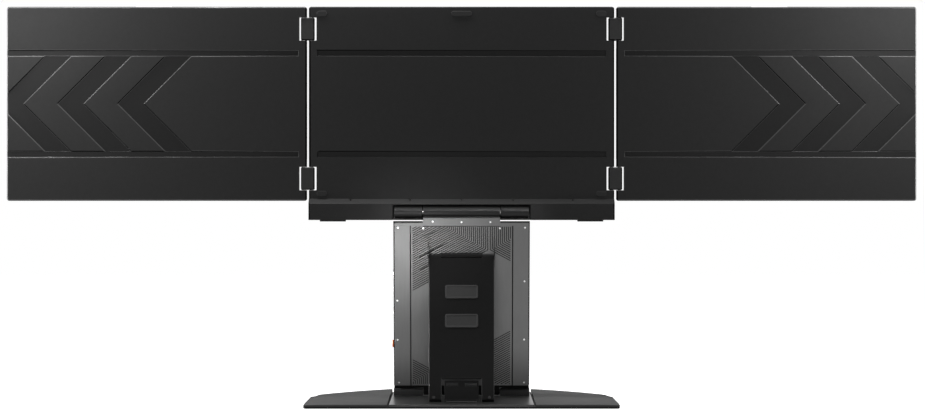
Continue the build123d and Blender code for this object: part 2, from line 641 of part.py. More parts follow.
def make_back_plate():
    """Metal back plate of the column with its tab over the tilt bracket."""
    depths = (PLATE_FACE, COLUMN_REAR)
    half = SIDE_X - BACK_PLATE_SIDE_MARGIN
    with BuildPart() as plate:
        block(column_plane, (-half, half), (COLUMN_BOTTOM, COLUMN_TOP - BACK_PLATE_TOP_MARGIN), depths)
        rear = faces().sort_by(Axis.Y)[0]
        chamfer(rear.edges().sort_by(Axis.Z)[-1], BACK_PLATE_CHAMFER)
        chamfer(plate.faces().sort_by(Axis.Y)[0].edges().filter_by(Plane.YZ), BACK_PLATE_CHAMFER)
        tab = (-TAB_WIDTH / 2, TAB_WIDTH / 2)
        block(column_plane, tab, (TAB_BOTTOM, TAB_TOP), depths)
        for x in (-PLATE_GROOVE_X, PLATE_GROOVE_X):
            xs = (x - PLATE_GROOVE_WIDTH / 2, x + PLATE_GROOVE_WIDTH / 2)
            ys = (COLUMN_BOTTOM - CUT_OVERRUN, TAB_BOTTOM)
            block(column_plane, xs, ys, (COLUMN_REAR - PLATE_GROOVE_DEPTH, COLUMN_REAR), mode=Mode.SUBTRACT)
        seam = (TAB_BOTTOM - PLATE_GROOVE_WIDTH / 2, TAB_BOTTOM)
        block(column_plane, tab, seam, (COLUMN_REAR - PLATE_GROOVE_DEPTH, COLUMN_REAR), mode=Mode.SUBTRACT)
        spots = PLATE_SCREWS + TAB_SCREWS
        disc(column_plane(PLATE_FACE), SCREW_RADIUS, COLUMN_REAR, spots, mode=Mode.SUBTRACT)
    return plate.part


def make_plate_screws(spots):
    """Screws of the back plate, their heads a little below its face."""
    with BuildPart() as screws:
        disc(column_plane(PLATE_FACE), SCREW_RADIUS, SCREW_LENGTH, spots)
    return screws.part


def make_tilt_bracket():
    """Arm that rises out of the column, with the centre barrel of the tilt hinge."""
    inner = -PLATE_FACE
    axis_forward = -TILT_REAR
    front = axis_forward + BRACKET_FRONT
    arm = ((inner, TAB_BOTTOM), (COLUMN_FRONT - LUG_GAP, TAB_BOTTOM), (front, COLUMN_TOP),
           (front, TILT_UP - BARREL_RADIUS / 2), (axis_forward - BARREL_RADIUS / 2, TILT_UP),
           (inner, TAB_TOP - BACK_PLATE_THICKNESS))
    with BuildPart() as bracket:
        outline_block(column_side(-TAB_WIDTH / 2), arm, TAB_WIDTH)
        cross_bar(BARREL_RADIUS, -TAB_WIDTH / 2, TAB_WIDTH, TILT_Y, TILT_Z)
        cross_bore(TILT_SHAFT_RADIUS + RUNNING, TAB_WIDTH / 2, TILT_Y, TILT_Z)
    return bracket.part


def make_main_board():
    """Main board of the column on its posts, with its chips towards the back plate."""
    half_x, half_y = BOARD_SIZE[0] / 2, BOARD_SIZE[1] / 2
    with BuildPart() as board:
        xs = (BOARD_CENTRE[0] - half_x, BOARD_CENTRE[0] + half_x)
        ys = (BOARD_CENTRE[1] - half_y, BOARD_CENTRE[1] + half_y)
        block(column_plane, xs, ys, (BOARD_DEPTH, BOARD_DEPTH + BOARD_THICKNESS))
        for index in range(CHIP_COUNT):
            level = BOARD_CENTRE[1] + (index - (CHIP_COUNT - 1) / 2) * CHIP_PITCH
            face = BOARD_DEPTH + BOARD_THICKNESS
            chip = (BOARD_CENTRE[0] - CHIP_SIZE[0], BOARD_CENTRE[0] + CHIP_SIZE[0])
            ys = (level - CHIP_SIZE[1] / 2, level + CHIP_SIZE[1] / 2)
            block(column_plane, chip, ys, (face, face + CHIP_SIZE[2]))
    return board.part


def make_sockets(levels, size):
    """Socket shells on the main board, open at the column's left side, with their tongues."""
    start = -SIDE_X - SOCKET_PROUD
    half = size[1] / 2
    with BuildPart() as sockets:
        for level in levels:
            ys = (level - size[0] / 2, level + size[0] / 2)
            depths = (SOCKET_DEPTH - half, SOCKET_DEPTH + half)
            block(column_plane, (start, start + SOCKET_LENGTH), ys, depths)
            mouth = (start - CUT_OVERRUN, start + SOCKET_MOUTH)
            ys = (ys[0] + SOCKET_WALL, ys[1] - SOCKET_WALL)
            inner = half - SOCKET_WALL
            block(column_plane, mouth, ys, (SOCKET_DEPTH - inner, SOCKET_DEPTH + inner), mode=Mode.SUBTRACT)
            tongue = (start + 2 * SOCKET_PROUD, start + SOCKET_MOUTH)
            ys = (ys[0] + inner, ys[1] - inner)
            block(column_plane, tongue, ys, (SOCKET_DEPTH - SOCKET_WALL, SOCKET_DEPTH + SOCKET_WALL))
    return sockets.part


def make_status_light():
    """Light guide from the board to the column's left side."""
    start = -SIDE_X - SOCKET_FIT
    with BuildPart() as light:
        ys = (LIGHT_LEVEL - LIGHT_RADIUS, LIGHT_LEVEL + LIGHT_RADIUS)
        depths = (SOCKET_DEPTH - LIGHT_RADIUS, SOCKET_DEPTH + LIGHT_RADIUS)
        block(column_plane, (start, start + SOCKET_LENGTH), ys, depths)
    return light.part


def make_power_key():
    """Power key with the flange that keeps it in the column."""
    inner = COLUMN_WALL - SIDE_X
    half = KEY_SIZE[1] / 2
    with BuildPart() as key:
        ys = (KEY_LEVEL - KEY_SIZE[0] / 2, KEY_LEVEL + KEY_SIZE[0] / 2)
        xs = (-SIDE_X - KEY_PROUD, inner + KEY_FLANGE[2])
        block(column_plane, xs, ys, (SOCKET_DEPTH - half, SOCKET_DEPTH + half))
        fillet(edges().filter_by(Axis.X), half * KEY_ROUND)
        flange = (inner + 2 * RUNNING, inner + 2 * RUNNING + KEY_FLANGE[2])
        ys = (KEY_LEVEL - KEY_FLANGE[0] / 2, KEY_LEVEL + KEY_FLANGE[0] / 2)
        half = KEY_FLANGE[1] / 2
        block(column_plane, flange, ys, (SOCKET_DEPTH - half, SOCKET_DEPTH + half))
    return key.part


def make_power_switch():
    """Side switch on the main board that the power key presses."""
    start = COLUMN_WALL - SIDE_X + KEY_FLANGE[2] + 2 * RUNNING + KEY_TRAVEL + 2 * RUNNING
    height, length, depth = SWITCH_SIZE
    with BuildPart() as switch:
        ys = (KEY_LEVEL - height / 2, KEY_LEVEL + height / 2)
        block(column_plane, (start, start + length), ys, (BOARD_DEPTH - depth, BOARD_DEPTH))
    return switch.part


def make_tilt_knuckles():
    """Side knuckles of the tilt hinge, each with a plate that is screwed into the chin."""
    with BuildPart() as knuckles:
        for side in (-1, 1):
            middle = side * TILT_KNUCKLE_X
            plate = (middle - KNUCKLE_PLATE[0] / 2, middle + KNUCKLE_PLATE[0] / 2)
            depths = (PLATE_FRONT_DEPTH, PLATE_FRONT_DEPTH + KNUCKLE_PLATE[1])
            block(screen_plane, plate, (TILT_Z, KNUCKLE_PLATE_TOP), depths)
            cross_bar(BARREL_RADIUS, middle - TILT_KNUCKLE_WIDTH / 2, TILT_KNUCKLE_WIDTH, TILT_Y, TILT_Z)
        half = TILT_SHAFT_HALF
        cross_bar(TILT_SHAFT_RADIUS, -half, 2 * half, TILT_Y, TILT_Z, mode=Mode.SUBTRACT)
    return knuckles.part


def make_cross_shaft(radius, half_length, y, z):
    """Steel shaft along X, centred on the column."""
    with BuildPart() as shaft:
        cross_bar(radius, -half_length, 2 * half_length, y, z)
    return shaft.part


# Leg
def make_leg():
    """Prop leg: a plate with round ends, hinge ears at the top and a U cut-out at the foot."""
    half = LEG_THICKNESS / 2
    top, foot = LEG_TOP_WIDTH / 2, LEG_FOOT_WIDTH / 2
    outline = ((-top, 0), (top, 0), (foot, -LEG_LENGTH), (-foot, -LEG_LENGTH))
    with BuildPart() as leg:
        outline_block(leg_plane(-half), outline, LEG_THICKNESS)
        cross_bar(half, -top, 2 * top, LEG_HINGE_Y, LEG_HINGE_Z)
        cross_bar(half, -foot, 2 * foot, LEG_FOOT_Y, BASE_TOP + LEG_FLOOR_GAP + half)
        notch = (-LEG_NOTCH_WIDTH / 2, LEG_NOTCH_WIDTH / 2)
        through = (-half - CUT_OVERRUN, half + CUT_OVERRUN)
        block(leg_plane, notch, (-LEG_NOTCH_DEPTH, half + CUT_OVERRUN), through, mode=Mode.SUBTRACT)
        cutout = (-LEG_CUTOUT_WIDTH / 2, LEG_CUTOUT_WIDTH / 2)
        ys = (-LEG_LENGTH - half - CUT_OVERRUN, LEG_CUTOUT_HEIGHT - LEG_LENGTH)
        block(leg_plane, cutout, ys, through, mode=Mode.SUBTRACT)
        cross_bore(LEG_PIN_RADIUS + RUNNING, top, LEG_HINGE_Y, LEG_HINGE_Z)
    return leg.part


def make_leg_pads():
    """Two soft pads on the rear of the leg."""
    half = LEG_PAD_SIZE[0] / 2
    with BuildPart() as pads:
        for drop in LEG_PAD_DROPS:
            ys = (-drop - LEG_PAD_SIZE[1] / 2, -drop + LEG_PAD_SIZE[1] / 2)
            depths = (LEG_THICKNESS / 2, LEG_THICKNESS / 2 + LEG_PAD_HEIGHT)
            block(leg_plane, (-half, half), ys, depths, radius=SOFT_CORNER)
    return pads.part


def make_leg_studs():
    """Round studs near the leg's feet."""
    spots = [(side * LEG_STUD_X, LEG_STUD_RISE - LEG_LENGTH) for side in (-1, 1)]
    with BuildPart() as studs:
        disc(leg_plane(LEG_THICKNESS / 2), LEG_STUD_RADIUS, LEG_STUD_HEIGHT, spots)
    return studs.part


def make_leg_lug():
    """Hinge lug on the back plate, between the leg's ears."""
    half = LEG_NOTCH_WIDTH / 2 - HINGE_END_GAP
    radius = LEG_THICKNESS / 2 - RUNNING
    foot = ((-COLUMN_REAR, LEG_HINGE_UP - radius), (-LEG_HINGE_REAR, LEG_HINGE_UP - radius),
            (-LEG_HINGE_REAR, LEG_HINGE_UP + radius), (-COLUMN_REAR, LEG_HINGE_UP + radius))
    with BuildPart() as lug:
        outline_block(column_side(-half), foot, 2 * half)
        cross_bar(radius, -half, 2 * half, LEG_HINGE_Y, LEG_HINGE_Z)
        cross_bore(LEG_PIN_RADIUS, half, LEG_HINGE_Y, LEG_HINGE_Z)
    return lug.part


# Base
def base_outline():
    """Outline of the base: straight rear and sides, and an arched front."""
    half = BASE_WIDTH / 2
    track = TRACK_WIDTH / 2
    shoulder_x, shoulder_y = BASE_SHOULDER
    Polyline((-half, BASE_SIDE_FRONT), (-half, -BASE_REAR), (half, -BASE_REAR), (half, BASE_SIDE_FRONT))
    ThreePointArc((half, BASE_SIDE_FRONT), (shoulder_x, shoulder_y), (track, TRACK_FRONT_SIDE))
    ThreePointArc((track, TRACK_FRONT_SIDE), (0, BASE_FRONT), (-track, TRACK_FRONT_SIDE))
    ThreePointArc((-track, TRACK_FRONT_SIDE), (-shoulder_x, shoulder_y), (-half, BASE_SIDE_FRONT))


def base_blank(low, high):
    """Full outline of the base between two heights."""
    with BuildSketch(level_plane(low)) as outline:
        with BuildLine():
            base_outline()
        make_face()
        fillet(outline.vertices().group_by(Axis.Y)[0], BASE_CORNER)
    extrude(outline.sketch, amount=high - low)


def base_screw_spots():
    """Places of the screws under the base."""
    spots = [(x, y) for x in BASE_SCREW_XS[1:-1] for y in BASE_SCREW_YS]
    return spots + [(x, BASE_SCREW_EDGE_Y) for x in (BASE_SCREW_XS[0], BASE_SCREW_XS[-1])]


def pad_rectangles():
    """Centre and size of each rubber pad under the base."""
    corners = [((x, y), PAD_CORNER) for x in PAD_CORNER_XS for y in PAD_CORNER_YS]
    return corners + [((0.0, 0.0), PAD_CENTRE)]


def add_pads(low, high, mode=Mode.ADD):
    """The rubber pads, or their recesses, between two heights."""
    for (x, y), (width, depth) in pad_rectangles():
        xs = (x - width / 2, x + width / 2)
        block(level_plane, xs, (y - depth / 2, y + depth / 2), (low, high), radius=PAD_ROUND, mode=mode)


def make_base_plate():
    """Steel under plate with its pad recesses and screw holes."""
    with BuildPart() as plate:
        base_blank(BASE_BOTTOM, BASE_PLATE_TOP)
        chamfer(faces().sort_by(Axis.Z)[0].edges(), BASE_CHAMFER)
        add_pads(BASE_BOTTOM, BASE_BOTTOM + PAD_RECESS, mode=Mode.SUBTRACT)
        spots = base_screw_spots()
        disc(level_plane(BASE_BOTTOM), BASE_SCREW_RADIUS, BASE_SCREW_DEPTH, spots, mode=Mode.SUBTRACT)
    return plate.part


def make_base_screws():
    """Flat screws under the base."""
    with BuildPart() as screws:
        disc(level_plane(BASE_BOTTOM), BASE_SCREW_RADIUS, BASE_SCREW_DEPTH, base_screw_spots())
    return screws.part


def make_base_pads():
    """Rubber pads that the base rests on."""
    with BuildPart() as pads:
        add_pads(0, BASE_BOTTOM + PAD_RECESS)
    return pads.part


def make_side_cover(side):
    """Side cover of the base, with a facet that falls away to its outer front corner."""
    inner = TRACK_WIDTH / 2 + TRACK_SLOT
    with BuildPart() as cover:
        base_blank(BASE_PLATE_TOP, BASE_TOP)
        chamfer(faces().sort_by(Axis.Z)[-1].edges(), BASE_CHAMFER)
        away = (side * inner, -side * BASE_WIDTH)
        levels = (0, 2 * BASE_TOP)
        block(level_plane, away, (-BASE_WIDTH, BASE_WIDTH), levels, mode=Mode.SUBTRACT)
        run = Vector(CREASE_FRONT[0] - CREASE_REAR[0], CREASE_FRONT[1] - CREASE_REAR[1], 0).normalized()
        outward = Vector(side * run.Y, -run.X, 0)
        slope = radians(CREASE_SLOPE)
        normal = outward * sin(slope) + Vector(0, 0, cos(slope))
        crease = Plane((side * CREASE_REAR[0], CREASE_REAR[1], BASE_TOP), z_dir=normal)
        split(bisect_by=crease, keep=Keep.BOTTOM)
    return cover.part


def make_centre_track():
    """Polished centre piece of the base, under the column."""
    half = TRACK_WIDTH / 2
    with BuildPart() as track:
        base_blank(BASE_PLATE_TOP, BASE_TOP)
        chamfer(faces().sort_by(Axis.Z)[-1].edges(), BASE_CHAMFER)
        for side in (-1, 1):
            away = (side * half, side * BASE_WIDTH)
            block(level_plane, away, (-BASE_WIDTH, BASE_WIDTH), (0, 2 * BASE_TOP), mode=Mode.SUBTRACT)
    return track.part


def make_foot_knuckles():
    """Base knuckles of the foot hinge, on the centre track."""
    with BuildPart() as knuckles:
        for side in (-1, 1):
            xs = sorted((side * FOOT_KNUCKLE_START, side * (FOOT_KNUCKLE_START + FOOT_KNUCKLE_WIDTH)))
            ys = (FOOT_Y - FOOT_RADIUS, FOOT_Y + FOOT_RADIUS)
            block(level_plane, xs, ys, (BASE_TOP, FOOT_Z))
            cross_bar(FOOT_RADIUS, xs[0], FOOT_KNUCKLE_WIDTH, FOOT_Y, FOOT_Z)
        half = FOOT_SHAFT_HALF
        cross_bar(FOOT_SHAFT_RADIUS, -half, 2 * half, FOOT_Y, FOOT_Z, mode=Mode.SUBTRACT)
    return knuckles.part


def make_leg_bracket():
    """Bracket on the base that the leg's U cut-out straddles."""
    half = LEG_BRACKET_THICKNESS / 2
    foot_width, foot_length, foot_thickness = LEG_BRACKET_FOOT
    with BuildPart() as bracket:
        xs = (-LEG_BRACKET_WIDTH / 2, LEG_BRACKET_WIDTH / 2)
        ys = (-LEG_LENGTH - half, LEG_BRACKET_HEIGHT - LEG_LENGTH)
        block(leg_plane, xs, ys, (-half, half))
        for side in (-1, 1):
            middle = side * LEG_BRACKET_SLOT_X
            slot = (middle - LEG_BRACKET_SLOT[0] / 2, middle + LEG_BRACKET_SLOT[0] / 2)
            level = LEG_BRACKET_SLOT_RISE - LEG_LENGTH
            ys = (level - LEG_BRACKET_SLOT[1] / 2, level + LEG_BRACKET_SLOT[1] / 2)
            through = (-half - CUT_OVERRUN, half + CUT_OVERRUN)
            block(leg_plane, slot, ys, through, mode=Mode.SUBTRACT)
        xs = (-foot_width / 2, foot_width / 2)
        ys = (LEG_FOOT_Y - LEG_BRACKET_FOOT_REAR, LEG_FOOT_Y - LEG_BRACKET_FOOT_REAR + foot_length)
        block(level_plane, xs, ys, (BASE_TOP, BASE_TOP + foot_thickness))
        ys = (LEG_FOOT_Y - half, LEG_FOOT_Y + half)
        block(level_plane, xs, ys, (BASE_TOP, BASE_TOP + LEG_THICKNESS / 2))
    return bracket.part


def make_bracket_screws():
    """Screws that hold the leg bracket on the base."""
    y = LEG_FOOT_Y - LEG_BRACKET_FOOT_REAR + LEG_BRACKET_FOOT[1] - 2 * LEG_STUD_RADIUS
    spots = [(side * BRACKET_SCREW_X, y) for side in (-1, 1)]
    with BuildPart() as screws:
        disc(level_plane(BASE_TOP + LEG_BRACKET_FOOT[2]), LEG_STUD_RADIUS, BRACKET_SCREW_HEAD, spots)
    return screws.part


# Small pieces of the centre screen
def make_bumpers():
    """Rubber bumpers on the rear of the centre screen."""
    depths = (SCREEN_REAR, SCREEN_REAR + BUMPER_HEIGHT)
    levels = (SCREEN_TOP - BUMPER_EDGE, WING_BOTTOM + BUMPER_EDGE)
    with BuildPart() as bumpers:
        for level in levels:
            for x in (-BUMPER_X, BUMPER_X):
                xs = (x - BUMPER_SIZE[0] / 2, x + BUMPER_SIZE[0] / 2)
                ys = (level - BUMPER_SIZE[1] / 2, level + BUMPER_SIZE[1] / 2)
                block(screen_plane, xs, ys, depths, radius=BUMPER_SIZE[1] * BUMPER_ROUND)
        xs = (-PILL_SIZE[0] / 2, PILL_SIZE[0] / 2)
        ys = (levels[0] - PILL_SIZE[1] / 2, levels[0] + PILL_SIZE[1] / 2)
        block(screen_plane, xs, ys, depths, radius=PILL_SIZE[1] * BUMPER_ROUND)
    return bumpers.part


def make_chin_screws():
    """Screws in the chin's bevel."""
    spots = [(x, BEVEL_TOP - CHIN_SCREW_RADIUS) for x in CHIN_SCREW_XS]
    with BuildPart() as screws:
        disc(screen_plane(COVER_INSIDE + RUNNING), CHIN_SCREW_RADIUS, CHIN_SCREW_LENGTH, spots)
    return screws.part


def make_chin_pads():
    """Rubber strips under the chin."""
    with BuildPart() as pads:
        for side in (-1, 1):
            xs = (side * CHIN_PAD_X - CHIN_PAD_WIDTH / 2, side * CHIN_PAD_X + CHIN_PAD_WIDTH / 2)
            middle = (CHIN_REAR + BEZEL_BACK) / 2
            ys = (-middle - CHIN_PAD_DEPTH / 2, -middle + CHIN_PAD_DEPTH / 2)
            levels = (CENTRE_BOTTOM - CHIN_PAD_HEIGHT, CENTRE_BOTTOM)
            block(level_plane, xs, ys, levels, radius=SOFT_CORNER)
    return pads.part


def main():
    """Build every piece and write it."""
    os.makedirs("parts", exist_ok=True)
    centre_edges = [(side * CENTRE_WIDTH / 2, -side, side) for side in (-1, 1)]
    pieces = {
        "centre_rear_cover": make_centre_cover(),
        "centre_bezel": make_bezel(0, CENTRE_BOTTOM, CENTRE_WIDTH, centre_edges),
        "centre_display": make_display(0),
        "centre_driver_board": make_driver_board(0),
        "centre_hinge_brackets": make_brackets(centre_edges),
        "centre_bumpers": make_bumpers(),
        "chin_screws": make_chin_screws(),
        "chin_pads": make_chin_pads(),
        "tilt_knuckles": make_tilt_knuckles(),
        "tilt_shaft": make_cross_shaft(TILT_SHAFT_RADIUS, TILT_SHAFT_HALF, TILT_Y, TILT_Z),
        "column_housing": make_housing(),
        "column_back_plate": make_back_plate(),
        "column_screws": make_plate_screws(PLATE_SCREWS),
        "tilt_bracket": make_tilt_bracket(),
        "tilt_bracket_screws": make_plate_screws(TAB_SCREWS),
        "main_board": make_main_board(),
        "usb_c_sockets": make_sockets(USB_C_LEVELS, USB_C_SIZE),
        "hdmi_socket": make_sockets((HDMI_LEVEL,), HDMI_SIZE),
        "status_light": make_status_light(),
        "power_key": make_power_key(),
        "power_switch": make_power_switch(),
        "leg_plate": make_leg(),
        "leg_pads": make_leg_pads(),
        "leg_studs": make_leg_studs(),
        "leg_hinge_lug": make_leg_lug(),
        "leg_hinge_pin": make_cross_shaft(
            LEG_PIN_RADIUS, LEG_TOP_WIDTH / 2 - LEG_PIN_SHORT, LEG_HINGE_Y, LEG_HINGE_Z),
        "base_plate": make_base_plate(),
        "base_screws": make_base_screws(),
        "base_pads": make_base_pads(),
        "centre_track": make_centre_track(),
        "foot_knuckles": make_foot_knuckles(),
        "foot_shaft": make_cross_shaft(FOOT_SHAFT_RADIUS, FOOT_SHAFT_HALF, FOOT_Y, FOOT_Z),
        "leg_bracket": make_leg_bracket(),
        "leg_bracket_screws": make_bracket_screws(),
    }
    for name, side in (("left", -1), ("right", 1)):
        edge = [(side * WING_INNER_X, side, side)]
        middle = side * WING_CENTRE_X
        pieces[f"{name}_rear_cover"] = make_wing_cover(side)
        pieces[f"{name}_bezel"] = make_bezel(middle, WING_BOTTOM, WING_WIDTH, edge)
        pieces[f"{name}_display"] = make_display(middle)
        pieces[f"{name}_driver_board"] = make_driver_board(middle)
        pieces[f"{name}_hinge_brackets"] = make_brackets(edge)
        pieces[f"{name}_link_blocks"] = make_link_blocks(side)
        pieces[f"{name}_link_pins"] = make_link_pins(side)
        pieces[f"{name}_base_cover"] = make_side_cover(side)
    for name, part in pieces.items():
        label_and_write(part, name)


main()
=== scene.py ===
"""Studio scene of a free-standing laptop screen extender with two wing screens.

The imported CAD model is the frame. Main shells are softened copies of their CAD solids, and small
pieces are modelled by hand around them. Sizes are millimetres and angles are degrees, while
Blender's own coordinates are metres.
"""
from __future__ import annotations

import json
import logging
import math
from dataclasses import dataclass
from enum import Enum, IntEnum
from typing import Any, Callable, Iterable, Sequence

import bmesh
import bpy
from mathutils import Matrix, Vector

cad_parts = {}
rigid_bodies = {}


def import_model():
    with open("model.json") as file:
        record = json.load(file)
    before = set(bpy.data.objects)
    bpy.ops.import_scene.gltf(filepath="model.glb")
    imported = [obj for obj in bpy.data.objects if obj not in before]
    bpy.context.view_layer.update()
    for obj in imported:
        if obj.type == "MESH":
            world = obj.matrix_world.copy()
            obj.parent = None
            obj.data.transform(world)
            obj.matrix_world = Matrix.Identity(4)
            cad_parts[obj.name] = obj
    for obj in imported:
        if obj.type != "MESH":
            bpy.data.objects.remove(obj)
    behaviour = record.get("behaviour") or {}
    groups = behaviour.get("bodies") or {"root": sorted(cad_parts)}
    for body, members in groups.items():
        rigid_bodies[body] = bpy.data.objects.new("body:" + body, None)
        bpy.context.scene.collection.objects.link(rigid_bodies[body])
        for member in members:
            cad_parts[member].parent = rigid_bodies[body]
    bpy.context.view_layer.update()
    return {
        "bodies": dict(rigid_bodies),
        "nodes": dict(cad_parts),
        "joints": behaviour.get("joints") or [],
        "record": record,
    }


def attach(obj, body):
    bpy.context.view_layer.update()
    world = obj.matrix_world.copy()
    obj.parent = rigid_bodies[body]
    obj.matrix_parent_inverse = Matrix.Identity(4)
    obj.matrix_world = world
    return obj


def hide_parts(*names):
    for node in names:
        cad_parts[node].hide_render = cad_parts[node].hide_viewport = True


LOG = logging.getLogger("screen_extender")
MM = 0.001

WELD = 0.002  # points of a CAD node nearer than this are one
FLAT_TURN = 0.4  # faces of a CAD node that meet at less than this are one
ON_LINE = 0.01  # slack of two points on one line
ON_LEVEL = 0.05  # slack of a point on a level
SQUARE = 0.95  # share of a normal along an axis from which a face is square to it
FLAT = 0.1  # share of a normal along an axis from which a face turns towards it
STEEP = 0.3  # share of a normal along an axis up to which a face runs along it
CHAMFER = (0.5, 0.9)  # share of a chamfer's normal along the axis beside it
NEARLY = 0.99  # share of a full height or normal that counts as all of it

Point = tuple[float, float]
Triple = tuple[float, float, float]
Colour = tuple[float, float, float, float]
Test = Callable[[Any], bool]

WHITE: Colour = (1.0, 1.0, 1.0, 1.0)


class Side(Enum):
    """The two sides of the extender, seen from behind."""

    LEFT = -1
    RIGHT = 1

    @property
    def word(self) -> str:
        """Name of the side as the frame writes it."""
        return self.name.lower()


class Texture(Enum):
    """What a surface feels like."""

    MOULDED = "moulded"
    BRUSHED = "brushed"
    POLISHED = "polished"
    BOARD = "board"


class Element(Enum):
    """What is picked in edit mode, by its name in a mesh."""

    FACE = "faces"
    EDGE = "edges"
    VERT = "verts"


class CoverSlot(IntEnum):
    """Order of the finishes on a rear cover."""

    FACE = 0
    BAND = 1
    # Rim finish: painted highlight on the wings' up-facing slopes, chamfers and rounded edges,
    # painted shade on the centre's.
    RIM = 2
    # Painted shade on down-facing slopes, inner side chamfers and the line beside the outer side
    # edge.
    GROOVE = 3
    # Outer side chamfer: painted highlight on the wings, painted shade on the centre.
    SIDE = 4


# ---------------------------------------------------------------- finishes


@dataclass(frozen=True)
class Finish:
    """Finish of a surface: its colour as seen, its gloss and its fine texture.

    Colours are display values from 0 to 1. Grain sizes and depths are millimetres.
    """

    name: str
    tone: Triple
    roughness: float = 0.5
    metallic: float = 0.0
    specular: float = 0.5
    coat: float = 0.0
    texture: Texture = Texture.MOULDED
    grain: float = 0.45
    depth: float = 0.02
    mottle: float = 0.10
    patch: float = 5.0
    spread: float = 0.06
    dust: float = 0.05
    glow: float = 0.0


def grey(level: float, warmth: float = 0.0) -> Triple:
    """Neutral colour from a display grey of 0 to 255, made a little warmer or cooler."""
    return ((level + warmth) / 255, level / 255, (level - warmth) / 255)


SHELL = Finish("screen_shell", grey(46), roughness=0.55, specular=0.1, grain=0.5, depth=0.03,
               patch=4.0)
BAND = Finish("screen_band", grey(34), specular=0.1, grain=0.35, patch=4.0)
# Lighter, glossier painted highlight on the wings' up-facing slopes, rear chamfers and rounded
# edges.
RIM = Finish("screen_rim", grey(66), roughness=0.28, specular=0.3, grain=0.3, depth=0.004,
             patch=4.0)
# Light painted highlight on the wings' outer side chamfer and on the link blocks' up-facing
# chamfers.
PAINTED_HIGHLIGHT_EDGE = Finish("wing_edge", grey(118), roughness=0.3, specular=0.4, grain=0.3, depth=0.003,
                    mottle=0.05)
# Darker painted shade on the centre's up-facing slopes, rear chamfers and rounded edges.
PAINTED_SHADE_RIM = Finish("centre_rim", grey(29), roughness=0.4, specular=0.1, grain=0.3, depth=0.006,
                  patch=4.0)
# Near-black painted shade for down-facing slopes, inner side chamfers, side-edge lines, link-block
# slopes and down-facing leg faces.
GROOVE = Finish("groove_black", grey(10), roughness=0.8, specular=0.02, grain=0.35, depth=0.01,
                dust=0.0)
BEZEL = Finish("bezel_black", grey(28), roughness=0.45, specular=0.35, grain=0.3, depth=0.015)
GLASS = Finish("display_glass", grey(12, -1), roughness=0.12, coat=0.6, texture=Texture.POLISHED,
               mottle=0.05, spread=0.03, dust=0.03)
MASK = Finish("display_border", grey(6), roughness=0.2, coat=0.4, texture=Texture.POLISHED,
              mottle=0.04, spread=0.03, dust=0.03)
BOARD = Finish("circuit_board", (0.05, 0.27, 0.16), roughness=0.35, texture=Texture.BOARD,
               dust=0.02)
HINGE = Finish("hinge_black", grey(18), roughness=0.38, specular=0.2, grain=0.3, depth=0.008,
               dust=0.03)
LINK = Finish("link_black", grey(60), roughness=0.42, specular=0.12, grain=0.3, depth=0.01,
              dust=0.03)
STEEL = Finish("steel", grey(196, 1), roughness=0.28, metallic=1.0, texture=Texture.BRUSHED,
               grain=0.2, depth=0.004, mottle=0.08, dust=0.0)
PLATE = Finish("column_metal", grey(100), roughness=0.45, metallic=0.8, specular=0.4,
               texture=Texture.BRUSHED, grain=0.25, depth=0.004, mottle=0.05, patch=9.0, dust=0.03)
ENGRAVED = Finish("engraved_line", grey(34), roughness=0.6, metallic=0.5, specular=0.1,
                  texture=Texture.BRUSHED, grain=0.25, depth=0.002)
COLUMN_SHELL = Finish("column_shell", grey(16), specular=0.12, grain=0.4)
LEG = Finish("leg_black", grey(30), specular=0.05, grain=0.35, depth=0.015, patch=6.0)
# Lighter painted highlight on the rounded edges of the leg and its bracket, and on the bracket
# slots' lower lips.
PAINTED_HIGHLIGHT_LEG_EDGE = Finish("leg_edge", grey(62), roughness=0.4, specular=0.15, grain=0.35, depth=0.006)
PAD = Finish("rubber_grey", grey(62), roughness=0.8, specular=0.2, grain=0.25, dust=0.08)
# Lighter painted highlight on the sloped crown and rim of the leg pads.
PAINTED_HIGHLIGHT_PAD_RIM = Finish("pad_rim", grey(84), roughness=0.7, specular=0.2, grain=0.25, depth=0.01)
BUMPER = Finish("bumper_grey", grey(46), roughness=0.75, specular=0.2, grain=0.25, dust=0.06)
BASE = Finish("base_grey", grey(58), roughness=0.65, specular=0.12, grain=0.3, depth=0.006,
              mottle=0.06, dust=0.06)
TRACK = Finish("track_gloss", grey(30), roughness=0.3, texture=Texture.POLISHED, depth=0.0004,
               mottle=0.05, spread=0.02, dust=0.02)
# Dark finish of the base plate; also used as a painted shade line on the track's rounded edges.
UNDER = Finish("under_plate", grey(20), roughness=0.6, specular=0.1, grain=0.4, depth=0.012)
SCREW_BRIGHT = Finish("screw_bright", grey(215), roughness=0.3, metallic=0.8,
                      texture=Texture.BRUSHED, grain=0.15, depth=0.003, dust=0.0)
SCREW_DARK = Finish("screw_black", grey(26), roughness=0.35, metallic=0.4, specular=0.4,
                    grain=0.2, depth=0.004, dust=0.02)
SOCKET_CORE = Finish("socket_core", grey(18), specular=0.3, grain=0.2, depth=0.005)
ORANGE = Finish("key_orange", (0.86, 0.42, 0.12), roughness=0.45, specular=0.4, grain=0.25,
                depth=0.008)
LIGHT = Finish("light_white", grey(238), roughness=0.35, grain=0.4, depth=0.004, glow=0.15)
SWITCH = Finish("switch_body", grey(170), roughness=0.4, metallic=0.6, texture=Texture.BRUSHED,
                dust=0.02)
DUST_TONE = grey(150)
COPPER_TONE = (0.45, 0.62, 0.30)


def linear(level: float) -> float:
    """Scene-linear value of a display value from 0 to 1."""
    return level / 12.92 if level <= 0.04045 else ((level + 0.055) / 1.055) ** 2.4


def paint(tone: Triple, gain: float = 1.0) -> Colour:
    """Scene-linear colour of a display colour, made lighter or darker by a gain."""
    red, green, blue = (min(1.0, linear(level) * gain) for level in tone)
    return red, green, blue, 1.0


